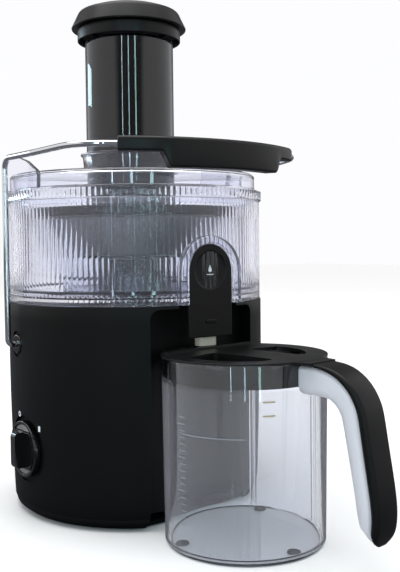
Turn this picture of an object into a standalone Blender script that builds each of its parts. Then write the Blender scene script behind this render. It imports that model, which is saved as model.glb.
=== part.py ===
"""A centrifugal juicer with its juice jug, in metres, +Z up.

The motor's axis is the Z axis. The front, with the spout and the jug, is -Y, and the switch
knob is at -X. Z = 0 is the underside of the bottom cover, so the feet and the jug's base stand
a little lower.
"""

import math

import bmesh
import bpy
from mathutils import Matrix, Vector

# Fits and smoothness
GAP = 0.0003  # between pieces that touch
RUNNING_GAP = 0.0007  # round pieces that turn or slide
ROUND = 32  # sides of the large turned pieces
MEDIUM_ROUND = 20
SMALL_ROUND = 12

# Motor housing and its bottom cover. Its radius and height set those of most other pieces.
FOOT_STAND = 0.0015
HOUSING_TOP = 0.1810
HOUSING_TOP_RADIUS = 0.1146
HOUSING_BOTTOM_RADIUS = HOUSING_TOP_RADIUS - 0.0028
HOUSING_WALL = 0.0030
DECK = 0.0025
COVER_HEIGHT = 0.0090
COVER_UNDERSIDE_RADIUS = HOUSING_BOTTOM_RADIUS - 0.0078
COVER_FLOOR = 0.0035
REGISTER_HEIGHT = 0.0040
REGISTER_WALL = 0.0025
POST_CIRCLE = HOUSING_BOTTOM_RADIUS - 0.0268
POST_RADIUS = 0.0050
POST_ANGLES = (40, 140, 225, 315)
FOOT_RADIUS = 0.0075
FOOT_CIRCLE = HOUSING_BOTTOM_RADIUS - 0.0238
FOOT_ANGLES = (60, 120, 235, 305)
FOOT_POCKET = 0.0018
SHAFT_HOLE_RADIUS = 0.0120
VENT_COUNT = 5
VENT_PITCH = 0.0080
VENT_WIDTH = 0.0030
VENT_HALF_LENGTH = 0.0300
VENT_START_Y = 0.0200
SCREW_RADIUS = 0.0017
SCREW_HEAD_RADIUS = 0.0040
SCREW_HEAD_TOP = 0.0020
SCREW_END = 0.0170
GLAND_RADIUS = 0.0067
GLAND_BORE_RADIUS = 0.0035
GLAND_FLANGE_RADIUS = 0.0090
GLAND_Z = 0.0240

# Bay in the housing that the jug stands in, and the notch above it for the spout
BAY_HALF_WIDTH = 0.0515
BAY_FLOOR_Y = -(HOUSING_TOP_RADIUS - 0.0276)
BAY_CORNER = 0.0080
NOTCH_BACK_Y = -(HOUSING_TOP_RADIUS - 0.0161)

# Motor
SHAFT_RADIUS = 0.0040
SHAFT_TOP = HOUSING_TOP + 0.0175
STATOR_RADIUS = 0.0380
STATOR_BOTTOM = 0.0580
STATOR_LENGTH = 0.0500
ARMATURE_RADIUS = 0.0205
COMMUTATOR_RADIUS = 0.0120
COMMUTATOR_LENGTH = 0.0180
BRACKET_RADIUS = 0.0460
BRACKET_WALL = 0.0030
BRACKET_FLOOR = 0.0035
BEARING_RADIUS = 0.0110
BEARING_WIDTH = 0.0080
BEARING_SEAT = 0.0100
BRACKET_BOTTOM = STATOR_BOTTOM - 0.0390
BRACKET_TOP = STATOR_BOTTOM + STATOR_LENGTH + 0.0310
SHAFT_BOTTOM = BRACKET_BOTTOM - 0.0030
FAN_BLADES = 9
FAN_RADIUS = 0.0340
FAN_HUB_RADIUS = 0.0150
FAN_BOTTOM = STATOR_BOTTOM + STATOR_LENGTH + 0.0040
FAN_HEIGHT = 0.0100
COUPLING_RADIUS = 0.0115
COUPLING_HEIGHT = 0.0135
COUPLING_LOBE = 0.0018
DAMPER_RADIUS = 0.0060
DAMPER_CIRCLE = BRACKET_RADIUS - 0.0080
DAMPER_ANGLES = (90, 210, 330)
BOARD_X = BRACKET_RADIUS + 0.0140
BOARD_THICK = 0.0040
BOARD_HALF_WIDTH = 0.0300
BOARD_BOTTOM = 0.0300
BOARD_HEIGHT = 0.0600

# Bowl
BOWL_RADIUS = HOUSING_TOP_RADIUS - 0.0009
BOWL_WALL = 0.0025
BOWL_BOTTOM = HOUSING_TOP + GAP
BOWL_HEIGHT = 0.0869
BOWL_TOP = BOWL_BOTTOM + BOWL_HEIGHT
BOWL_FLOOR = BOWL_BOTTOM + 0.0027
BOWL_FLOOR_TOP = BOWL_FLOOR + 0.0025
HUB_TUBE_RADIUS = 0.0300
HUB_TUBE_TOP = BOWL_BOTTOM + 0.0307

# Spout, with its drip stop
SPOUT_HALF_WIDTH = 0.0305
SPOUT_TOP = BOWL_BOTTOM + 0.0560
SPOUT_FACE_Y = -(BOWL_RADIUS + 0.0028)
DRIP_STOP_HALF_WIDTH = 0.0220
DRIP_STOP_TOP = SPOUT_TOP - 0.0068
DRIP_STOP_BOTTOM = BOWL_BOTTOM - 0.0268
DRIP_STOP_FACE_Y = SPOUT_FACE_Y + 0.0023
DRIP_STOP_THICK = 0.0027
DRIP_STOP_DISH_RADIUS = 0.0165
DRIP_STOP_DISH_DEPTH = 0.0008
DRIP_STOP_DISH_Z = DRIP_STOP_TOP - 0.0213
NOZZLE_WIDTH = 0.0175
NOZZLE_DEPTH = 0.0098
NOZZLE_BOTTOM = BOWL_BOTTOM - 0.0343
NOZZLE_WALL = 0.0016
NOZZLE_CORNER = 0.0030

# Sieve basket and the cup that collects the juice
BASKET_RIM_RADIUS = BOWL_RADIUS - 0.0203
BASKET_RIM_TOP = BOWL_TOP - 0.0050
BASKET_RIM_HEIGHT = 0.0080
MESH_TOP_RADIUS = BASKET_RIM_RADIUS - 0.0044
MESH_BOTTOM_RADIUS = 0.0530
MESH_BOTTOM = BOWL_BOTTOM + 0.0390
MESH_WALL = 0.0012
BASKET_SKIRT_RADIUS = 0.0370
BASKET_SKIRT_WALL = 0.0025
BASKET_SKIRT_BOTTOM = BOWL_BOTTOM + 0.0087
SOCKET_BOTTOM = BOWL_BOTTOM + 0.0067
COLLECTOR_TOP_RADIUS = BASKET_RIM_RADIUS + 0.0031
COLLECTOR_BOTTOM_RADIUS = MESH_BOTTOM_RADIUS + 0.0130
COLLECTOR_WALL = 0.0020
COLLECTOR_INNER_TOP = BOWL_BOTTOM + 0.0237
CHANNEL_HALF_WIDTH = 0.0105
CHANNEL_WALL = 0.0015
CHANNEL_TOP = BOWL_BOTTOM + 0.0187

# Lid and feed chute
LID_SKIRT_RADIUS = BOWL_RADIUS + 0.0017
LID_BOTTOM = BOWL_TOP + GAP
LID_LEDGE = LID_BOTTOM + 0.0087
LID_LIP = 0.0045
LID_TIER_RADIUS = BOWL_RADIUS - 0.0042
LID_TIER_TOP = LID_LEDGE + 0.0133
LID_DOME = LID_TIER_TOP + 0.0055
LID_WALL = 0.0022
CHUTE_SET_BACK = 0.0055
CHUTE_RADIUS = 0.0400
CHUTE_WALL = 0.0022
CHUTE_BOTTOM = LID_BOTTOM - 0.0020
CHUTE_TOP = CHUTE_BOTTOM + 0.1475
NECK_RADIUS = CHUTE_RADIUS + 0.0040
NECK_FLANGE_RADIUS = CHUTE_RADIUS + 0.0055
NECK_TOP = LID_TIER_TOP + 0.0225
EAR_CENTRE_Y = 0.0080
EAR_HALF_LENGTH = 0.0330
EAR_TOP = LID_TIER_TOP + 0.0170
EAR_THICK = 0.0035

# Pusher
PUSHER_WALL = 0.0023
COLLAR_RADIUS = CHUTE_RADIUS + 0.0066
COLLAR_HEIGHT = 0.0104
CAP_RADIUS = CHUTE_RADIUS + 0.0119
CAP_HEIGHT = 0.0191

# Locking bail
BAIL_PIVOT_Y = 0.0115
BAIL_PIVOT_Z = HOUSING_TOP - 0.0345
BAIL_LEG_X = HOUSING_TOP_RADIUS + 0.0069
BAIL_ROD_RADIUS = 0.0025
BAIL_TOP = LID_TIER_TOP + 0.0135
BAIL_FILLETS = (0.0045, 0.0100, 0.0600, 0.0400, 0.0200)
HANDLE_OUTER_RADIUS = HOUSING_TOP_RADIUS + 0.0619
HANDLE_FRONT_Y = -(BOWL_RADIUS + 0.0268)
HANDLE_DEPTH = 0.0125
HANDLE_HALF_WIDTH = BAIL_LEG_X - 0.0335
HANDLE_TOP = BAIL_TOP + 0.0085
HANDLE_END_HEIGHT = 0.0115
HANDLE_SKIRT_HEIGHT = 0.0235
HANDLE_SKIRT_HALF_WIDTH = 0.0620
HANDLE_EDGE = 0.0022
BAIL_SHOULDER_Y = HANDLE_FRONT_Y + 0.0955
BAIL_BEND_X = BAIL_LEG_X - 0.0085
BAIL_BEND_Y = HANDLE_FRONT_Y + 0.0505
PIVOT_RECESS_RADIUS = 0.0112
PIVOT_RECESS_X = HOUSING_TOP_RADIUS - 0.0028
PIVOT_PAD_RADIUS = 0.0145
PIVOT_PAD_X = PIVOT_RECESS_X - 0.0085
BUSH_RADIUS = 0.0055
BUSH_HEAD_RADIUS = 0.0085
BUSH_LENGTH = 0.0085
BUSH_INNER_END = PIVOT_RECESS_X - 0.0058

# Switch knob
KNOB_Z = 0.0579
KNOB_RADIUS = 0.0240
KNOB_DISH_RADIUS = KNOB_RADIUS + 0.0045
KNOB_DISH_X = HOUSING_TOP_RADIUS - 0.0046
KNOB_RIM = 0.0026
KNOB_LIP = 0.0026
KNOB_BODY_THICK = 0.0033
GRIP_BAND_HEIGHT = 0.0310
FIN_THICK = 0.0080
FIN_HEIGHT = 0.0310
FIN_CORNER = 0.0040
FIN_OUT = KNOB_DISH_X + 0.0148
STEM_RADIUS = 0.0035
STEM_END_X = KNOB_DISH_X - 0.0070
SWITCH_FRONT_X = KNOB_DISH_X - 0.0075
SWITCH_BACK_X = KNOB_DISH_X - 0.0340
SWITCH_HALF_WIDTH = 0.0140
SWITCH_HALF_HEIGHT = 0.0170
INTERLOCK_INNER_X = PIVOT_RECESS_X - 0.0238
INTERLOCK_OUTER_X = PIVOT_RECESS_X - 0.0118
INTERLOCK_HALF_WIDTH = 0.0075
INTERLOCK_HALF_HEIGHT = 0.0110

# Jug
JUG_TOP_RADIUS = 0.0645
JUG_BOTTOM_RADIUS = JUG_TOP_RADIUS - 0.0017
JUG_Y = BAY_FLOOR_Y - 0.0045 - JUG_TOP_RADIUS
JUG_TURN = math.radians(8.5)
JUG_WALL = 0.0025
JUG_FLOOR = 0.0035
JUG_FOOT_CHAMFER = 0.0016
JUG_TOP = NOZZLE_BOTTOM - 0.0030
JUG_LID_RADIUS = JUG_TOP_RADIUS - JUG_WALL - 0.0020
JUG_LID_SKIRT = 0.0180
JUG_LID_WALL = 0.0018
JUG_LID_PLATE = 0.0014
JUG_LID_FLANGE_RADIUS = JUG_TOP_RADIUS + 0.0003
INLET_RADIUS = JUG_LID_RADIUS - JUG_LID_WALL - 0.0008
INLET_Y = JUG_LID_RADIUS - 0.0190
DIP_DEPTH = 0.0014
SEGMENT_RADIUS = JUG_LID_RADIUS - 0.0120
SEGMENT_CHORD_X = 0.0185
SEGMENT_FRONT = 62
SEGMENT_BACK = 14
SEPARATOR_X = SEGMENT_RADIUS - 0.0025
SEPARATOR_HALF_WIDTH = 0.0325
SEPARATOR_THICK = 0.0018
SEPARATOR_LIFT = 0.0045
LID_TAB_END = JUG_TOP_RADIUS + 0.0120
LID_TAB_HALF_WIDTH = 0.0150
GRIP_WIDTH = 0.0260
CORE_WIDTH = 0.0220
# The handle's outer line: distance out from the jug's wall, height above its rim, and the depths
# of the black grip and of the clear core behind it
HANDLE_LINE = (
    (0.0125, 0.0009, 0.0024, 0.0215),
    (0.0225, -0.0002, 0.0034, 0.0205),
    (0.0318, -0.0028, 0.0045, 0.0195),
    (0.0400, -0.0075, 0.0055, 0.0188),
    (0.0469, -0.0140, 0.0062, 0.0180),
    (0.0520, -0.0218, 0.0067, 0.0174),
    (0.0555, -0.0310, 0.0070, 0.0168),
    (0.0598, -0.0536, 0.0073, 0.0158),
    (0.0651, -0.0833, 0.0075, 0.0148),
    (0.0664, -0.0995, 0.0068, 0.0143),
    (0.0650, -0.1120, 0.0060, 0.0110),
    (0.0617, -0.1205, 0.0040, 0.0050),
)

# Places that follow from the sizes above
HOUSING_BOTTOM = COVER_HEIGHT + GAP
FLOOR_Z = -FOOT_STAND
BOWL_INSIDE = BOWL_RADIUS - BOWL_WALL
BAY_TOP = HOUSING_TOP - DECK
PUSHER_RADIUS = CHUTE_RADIUS - CHUTE_WALL - RUNNING_GAP - GAP
COLLAR_BOTTOM = CHUTE_TOP + GAP
CAP_BOTTOM = COLLAR_BOTTOM + COLLAR_HEIGHT + GAP
CUT_PAST = 0.0200  # how far a cutter runs past what it cuts

parts = bpy.data.collections.new("centrifugal_juicer")
cutters = bpy.data.collections.new("cutters")


def clear_scene():
    for obj in list(bpy.data.objects):
        bpy.data.objects.remove(obj)
    for collection in (parts, cutters):
        bpy.context.scene.collection.children.link(collection)


def material(name, colour, roughness, metallic=0.0, alpha=1.0):
    made = bpy.data.materials.new(name)
    made.use_nodes = True
    shader = made.node_tree.nodes["Principled BSDF"]
    shader.inputs["Base Color"].default_value = (*colour, 1.0)
    shader.inputs["Roughness"].default_value = roughness
    shader.inputs["Metallic"].default_value = metallic
    shader.inputs["Alpha"].default_value = alpha
    return made


def place(name, mesh, finish=None):
    """A named object from a mesh: a part if it has a finish, else a cutter."""
    obj = bpy.data.objects.new(name, mesh)
    if finish is None:
        cutters.objects.link(obj)
        obj.hide_render = True
        obj.display_type = "WIRE"
        return obj
    parts.objects.link(obj)
    own = material(name, *finish)
    mesh.materials.append(own)
    return obj


def mesh_from(name, bm):
    bmesh.ops.recalc_face_normals(bm, faces=bm.faces)
    mesh = bpy.data.meshes.new(name)
    bm.to_mesh(mesh)
    bm.free()
    return mesh


def smooth(obj):
    obj.data.shade_smooth()
    obj.data.set_sharp_from_angle(angle=math.radians(35))
    return obj


def turned(name, profile, finish=None, sides=ROUND):
    """A profile of (radius, height) points turned about Z. A profile whose ends are both on the
    axis makes a solid piece, and any other is closed into a ring."""
    area = sum(a[0] * b[1] - b[0] * a[1] for a, b in zip(profile, profile[1:] + profile[:1]))
    points = profile[::-1] if area > 0 else profile
    on_axis = profile[0][0] == 0 and profile[-1][0] == 0
    bm = bmesh.new()
    corners = [bm.verts.new((radius, 0, height)) for radius, height in points]
    for first, second in zip(corners, corners[1:]):
        bm.edges.new((first, second))
    if not on_axis:
        bm.edges.new((corners[-1], corners[0]))
    mesh = bpy.data.meshes.new(name)
    bm.to_mesh(mesh)
    bm.free()
    obj = place(name, mesh, finish)
    screw = obj.modifiers.new("turn", "SCREW")
    screw.steps = screw.render_steps = sides
    screw.use_merge_vertices = True
    screw.merge_threshold = 1e-5
    screw.use_smooth_shade = True
    return obj


def box(name, low, high, finish=None):
    low, high = Vector(low), Vector(high)
    bm = bmesh.new()
    bmesh.ops.create_cube(bm, size=1)
    bmesh.ops.scale(bm, vec=high - low, verts=bm.verts)
    obj = place(name, mesh_from(name, bm), finish)
    obj.location = (low + high) / 2
    return obj


def rod(name, radius, start, end, finish=None, sides=MEDIUM_ROUND):
    """A solid cylinder from one point to another."""
    start, end = Vector(start), Vector(end)
    bm = bmesh.new()
    bmesh.ops.create_cone(bm, cap_ends=True, segments=sides, radius1=radius, radius2=radius,
                          depth=(end - start).length)
    obj = place(name, mesh_from(name, bm), finish)
    obj.location = (start + end) / 2
    obj.rotation_mode = "QUATERNION"
    obj.rotation_quaternion = (end - start).to_track_quat("Z", "Y")
    return smooth(obj) if finish else obj


def slab(name, outline, low, high, axis="Z", finish=None):
    """A flat outline pushed through along an axis. Outline points are (x, y) for Z, (x, z) for Y
    and (y, z) for X."""
    place_point = {
        "Z": lambda a, b: (a, b, low),
        "Y": lambda a, b: (a, low, b),
        "X": lambda a, b: (low, a, b),
    }[axis]
    along = {"Z": (0, 0, high - low), "Y": (0, high - low, 0), "X": (high - low, 0, 0)}[axis]
    bm = bmesh.new()
    face = bm.faces.new([bm.verts.new(place_point(a, b)) for a, b in outline])
    pushed = bmesh.ops.extrude_face_region(bm, geom=[face])
    moved = [item for item in pushed["geom"] if isinstance(item, bmesh.types.BMVert)]
    bmesh.ops.translate(bm, vec=along, verts=moved)
    return place(name, mesh_from(name, bm), finish)


def ring_slab(name, outer, inner, low, high, finish=None):
    """A flat ring between two outlines that have the same number of points."""
    bm = bmesh.new()
    loops = [[bm.verts.new((x, y, z)) for x, y in outline]
             for outline, z in ((outer, low), (outer, high), (inner, high), (inner, low))]
    count = len(outer)
    for first, second in zip(loops, loops[1:] + loops[:1]):
        for i in range(count):
            j = (i + 1) % count
            bm.faces.new((first[i], first[j], second[j], second[i]))
    return place(name, mesh_from(name, bm), finish)


def loft(name, rings, finish=None):
    """A solid through a row of rings that have the same number of points, closed at its ends."""
    bm = bmesh.new()
    rows = [[bm.verts.new(point) for point in ring] for ring in rings]
    count = len(rings[0])
    for first, second in zip(rows, rows[1:]):
        for i in range(count):
            j = (i + 1) % count
            bm.faces.new((first[i], first[j], second[j], second[i]))
    bm.faces.new(rows[0])
    bm.faces.new(rows[-1])
    return place(name, mesh_from(name, bm), finish)


def arc(centre, radius, start, end, steps):
    """Points on an arc, in degrees, with both ends."""
    angles = [math.radians(start + (end - start) * i / steps) for i in range(steps + 1)]
    return [(centre[0] + radius * math.cos(a), centre[1] + radius * math.sin(a)) for a in angles]


def round_topped(half_width, bottom, top, corner, steps=6):
    """An upright outline with rounded top corners. A corner as large as the half width makes an
    arch."""
    side = half_width - corner
    right = arc((side, top - corner), corner, 0, 90, steps)
    left = arc((-side, top - corner), corner, 90, 180, steps)
    if side < 1e-6:
        left = left[1:]
    return [(half_width, bottom)] + right + left + [(-half_width, bottom)]


def cut(obj, cutter, operation="DIFFERENCE"):
    step = obj.modifiers.new(cutter.name, "BOOLEAN")
    step.object = cutter
    step.operation = operation
    step.solver = "EXACT"


def smooth_line(points, steps):
    """Points along a Catmull-Rom curve through the given ones."""
    points = [Vector(point) for point in points]
    ends = [2 * points[0] - points[1], *points, 2 * points[-1] - points[-2]]
    line = []
    for a, b, c, d in zip(ends, ends[1:], ends[2:], ends[3:]):
        for i in range(steps):
            t = i / steps
            line.append(0.5 * (2 * b + (c - a) * t + (2 * a - 5 * b + 4 * c - d) * t * t
                               + (3 * b - a - 3 * c + d) * t ** 3))
    return line + [ends[-2]]


def filleted(points, radii, steps=5):
    """A line of straight runs, with each inner corner rounded to its own radius."""
    line = [Vector(points[0])]
    for before, corner, after, radius in zip(points, points[1:], points[2:], radii):
        before, corner, after = Vector(before), Vector(corner), Vector(after)
        back, on = (before - corner).normalized(), (after - corner).normalized()
        half = back.angle(on) / 2
        reach = radius / math.tan(half)
        centre = corner + (back + on).normalized() * radius / math.sin(half)
        start, end = corner + back * reach, corner + on * reach
        for i in range(steps + 1):
            spoke = (start - centre).slerp(end - centre, i / steps)
            line.append(centre + spoke * radius)
    return line + [Vector(points[-1])]


def wire(name, points, radius, finish):
    """A round wire along a line of points."""
    curve = bpy.data.curves.new(name, "CURVE")
    curve.dimensions = "3D"
    curve.bevel_depth = radius
    curve.bevel_resolution = 2
    curve.use_fill_caps = True
    spline = curve.splines.new("POLY")
    spline.points.add(len(points) - 1)
    for made, point in zip(spline.points, points):
        made.co = (*point, 1)
    obj = bpy.data.objects.new(name, curve)
    parts.objects.link(obj)
    curve.materials.append(material(name, *finish))
    return obj


def joint_empty(name, at, turn=0.0):
    empty = bpy.data.objects.new(name, None)
    empty.empty_display_size = 0.02
    empty.location = at
    empty.rotation_euler = (0, 0, turn)
    parts.objects.link(empty)
    return empty


def hang(empty, *objects):
    """The objects keep their place and move with the empty."""
    bpy.context.view_layer.update()
    for obj in objects:
        obj.parent = empty
        obj.matrix_parent_inverse = empty.matrix_world.inverted()


BLACK_PLASTIC = ((0.012, 0.012, 0.013), 0.38)
GLOSS_BLACK = ((0.010, 0.010, 0.011), 0.15)
CLEAR = ((0.85, 0.87, 0.90), 0.05, 0.0, 0.30)
SMOKED = ((0.05, 0.055, 0.06), 0.05, 0.0, 0.75)
STEEL = ((0.60, 0.60, 0.62), 0.25, 1.0)
CHROME = ((0.80, 0.80, 0.82), 0.08, 1.0)
COPPER = ((0.55, 0.25, 0.12), 0.35, 1.0)
RUBBER = ((0.020, 0.020, 0.020), 0.85)
PALE_GREY = ((0.50, 0.48, 0.42), 0.50)
SILVER = ((0.42, 0.40, 0.38), 0.40, 0.6)
BOARD_GREEN = ((0.03, 0.16, 0.07), 0.60)
WHITE_NYLON = ((0.75, 0.74, 0.70), 0.50)


def housing_side(shrink, top, bottom):
    """The housing's side, from top to bottom: upright above the middle and drawn in below it."""
    steps = 3
    side = []
    for i in range(steps + 1):
        height = top + (bottom - top) * i / steps
        share = (height - HOUSING_BOTTOM) / (HOUSING_TOP - HOUSING_BOTTOM)
        drawn_in = (HOUSING_TOP_RADIUS - HOUSING_BOTTOM_RADIUS) * max(0.0, 1 - 1.4 * share) ** 2
        side.append((HOUSING_TOP_RADIUS - drawn_in - shrink, height))
    return side


def around(radius, degrees):
    angle = math.radians(degrees)
    return radius * math.cos(angle), radius * math.sin(angle)


def make_housing():
    finish = BLACK_PLASTIC
    outside = [(0, HOUSING_TOP), *housing_side(0, HOUSING_TOP, HOUSING_BOTTOM), (0, HOUSING_BOTTOM)]
    housing = turned("motor_housing", outside, finish)
    hollow_bottom = HOUSING_BOTTOM - 0.002
    hollow = turned("housing_hollow", [
        (0, BAY_TOP), *housing_side(HOUSING_WALL, BAY_TOP, hollow_bottom), (0, hollow_bottom)])
    past = HOUSING_TOP_RADIUS + CUT_PAST
    lining = box("bay_lining", (-BAY_HALF_WIDTH - HOUSING_WALL, -past, -CUT_PAST),
                 (BAY_HALF_WIDTH + HOUSING_WALL, BAY_FLOOR_Y + HOUSING_WALL, HOUSING_TOP))
    cut(hollow, lining)
    for angle in POST_ANGLES:
        x, y = around(POST_CIRCLE, angle)
        post = rod(f"post_{angle}", POST_RADIUS, (x, y, 0), (x, y, HOUSING_TOP), sides=SMALL_ROUND)
        cut(hollow, post)
    pads = (("knob_pad", -1, 0, KNOB_Z, KNOB_DISH_RADIUS + HOUSING_WALL, KNOB_DISH_X - 0.0060),
            ("left_pivot_pad", -1, BAIL_PIVOT_Y, BAIL_PIVOT_Z, PIVOT_PAD_RADIUS, PIVOT_PAD_X),
            ("right_pivot_pad", 1, BAIL_PIVOT_Y, BAIL_PIVOT_Z, PIVOT_PAD_RADIUS, PIVOT_PAD_X))
    for name, side, y, z, radius, inner in pads:
        cut(hollow, rod(name, radius, (side * inner, y, z), (side * past, y, z)))
    cut(housing, hollow)
    bay = slab("jug_bay", round_topped(BAY_HALF_WIDTH, -CUT_PAST, BAY_TOP, BAY_CORNER),
               -past, BAY_FLOOR_Y, "Y")
    cut(housing, bay)
    notch = box("spout_notch", (-SPOUT_HALF_WIDTH + 0.0015, -past, BAY_TOP - 0.01),
                (SPOUT_HALF_WIDTH - 0.0015, NOTCH_BACK_Y, HOUSING_TOP + CUT_PAST))
    cut(housing, notch)
    cut(housing, rod("shaft_hole", SHAFT_HOLE_RADIUS, (0, 0, BAY_TOP - 0.01),
                     (0, 0, HOUSING_TOP + 0.01)))
    cut(housing, rod("knob_dish", KNOB_DISH_RADIUS, (-KNOB_DISH_X, 0, KNOB_Z),
                     (-past, 0, KNOB_Z), sides=32))
    cut(housing, rod("stem_hole", STEM_RADIUS + RUNNING_GAP, (-KNOB_DISH_X + CUT_PAST, 0, KNOB_Z),
                     (-past, 0, KNOB_Z)))
    for name, side in (("left", -1), ("right", 1)):
        cut(housing, rod(f"{name}_pivot_recess", PIVOT_RECESS_RADIUS,
                         (side * PIVOT_RECESS_X, BAIL_PIVOT_Y, BAIL_PIVOT_Z),
                         (side * past, BAIL_PIVOT_Y, BAIL_PIVOT_Z), sides=28))
        cut(housing, rod(f"{name}_bush_hole", BUSH_RADIUS + GAP,
                         (side * (BUSH_INNER_END - GAP), BAIL_PIVOT_Y, BAIL_PIVOT_Z),
                         (side * past, BAIL_PIVOT_Y, BAIL_PIVOT_Z)))
    cut(housing, rod("cord_hole", GLAND_RADIUS + GAP, (0, HOUSING_TOP_RADIUS - CUT_PAST, GLAND_Z),
                     (0, past, GLAND_Z)))
    for angle in POST_ANGLES:
        x, y = around(POST_CIRCLE, angle)
        cut(housing, rod(f"pilot_{angle}", SCREW_RADIUS + GAP, (x, y, -0.01), (x, y, SCREW_END + 0.002),
                         sides=SMALL_ROUND))
    return housing


def make_bottom_cover():
    register = HOUSING_BOTTOM_RADIUS - HOUSING_WALL - GAP - 0.0005
    rim = HOUSING_BOTTOM_RADIUS - 0.0012
    register_top = COVER_HEIGHT + REGISTER_HEIGHT
    cover = turned("bottom_cover", [
        (0, COVER_FLOOR), (register - REGISTER_WALL, COVER_FLOOR),
        (register - REGISTER_WALL, register_top), (register, register_top),
        (register, COVER_HEIGHT), (rim, COVER_HEIGHT), (rim, 0.0050), (COVER_UNDERSIDE_RADIUS, 0),
        (0, 0)], BLACK_PLASTIC)
    past = HOUSING_TOP_RADIUS + CUT_PAST
    cut(cover, box("cover_bay", (-BAY_HALF_WIDTH, -past, -CUT_PAST),
                   (BAY_HALF_WIDTH, BAY_FLOOR_Y, CUT_PAST)))
    cut(cover, box("cover_register_bay", (-BAY_HALF_WIDTH - HOUSING_WALL - 0.001, -past, COVER_HEIGHT),
                   (BAY_HALF_WIDTH + HOUSING_WALL + 0.001, BAY_FLOOR_Y + HOUSING_WALL + 0.001, 0.03)))
    for angle in POST_ANGLES:
        x, y = around(POST_CIRCLE, angle)
        cut(cover, rod(f"screw_hole_{angle}", SCREW_RADIUS + GAP, (x, y, -0.01), (x, y, 0.01),
                       sides=SMALL_ROUND))
        cut(cover, rod(f"screw_sink_{angle}", SCREW_HEAD_RADIUS + GAP, (x, y, -0.01), (x, y, SCREW_HEAD_TOP),
                       sides=SMALL_ROUND))
    for angle in FOOT_ANGLES:
        x, y = around(FOOT_CIRCLE, angle)
        cut(cover, rod(f"foot_pocket_{angle}", FOOT_RADIUS + GAP, (x, y, -0.01), (x, y, FOOT_POCKET),
                       sides=SMALL_ROUND))
    for i in range(VENT_COUNT):
        y = VENT_START_Y + VENT_PITCH * i
        cut(cover, box(f"vent_{i}", (-VENT_HALF_LENGTH, y, -0.01), (VENT_HALF_LENGTH, y + VENT_WIDTH, 0.01)))
    for number, angle in enumerate(FOOT_ANGLES, 1):
        x, y = around(FOOT_CIRCLE, angle)
        rod(f"rubber_foot_{number}", FOOT_RADIUS, (x, y, FLOOR_Z), (x, y, FOOT_POCKET - GAP), RUBBER,
            SMALL_ROUND)
    for number, angle in enumerate(POST_ANGLES, 1):
        screw = turned(f"cover_screw_{number}", [
            (0, SCREW_END), (SCREW_RADIUS, SCREW_END), (SCREW_RADIUS, SCREW_HEAD_TOP - GAP),
            (SCREW_HEAD_RADIUS, SCREW_HEAD_TOP - GAP), (SCREW_HEAD_RADIUS, 0.0004), (0, 0.0004)], STEEL, 8)
        screw.location = (*around(POST_CIRCLE, angle), 0)
    gland = turned("cord_inlet", [
        (GLAND_RADIUS, -0.008), (GLAND_BORE_RADIUS, -0.008), (GLAND_BORE_RADIUS, 0.0030),
        (GLAND_FLANGE_RADIUS, 0.0030), (GLAND_FLANGE_RADIUS, 0),
        (GLAND_RADIUS, 0)], RUBBER, MEDIUM_ROUND)
    gland.location = (0, HOUSING_TOP_RADIUS - 0.0010, GLAND_Z)
    gland.rotation_euler = (-math.pi / 2, 0, 0)


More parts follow.
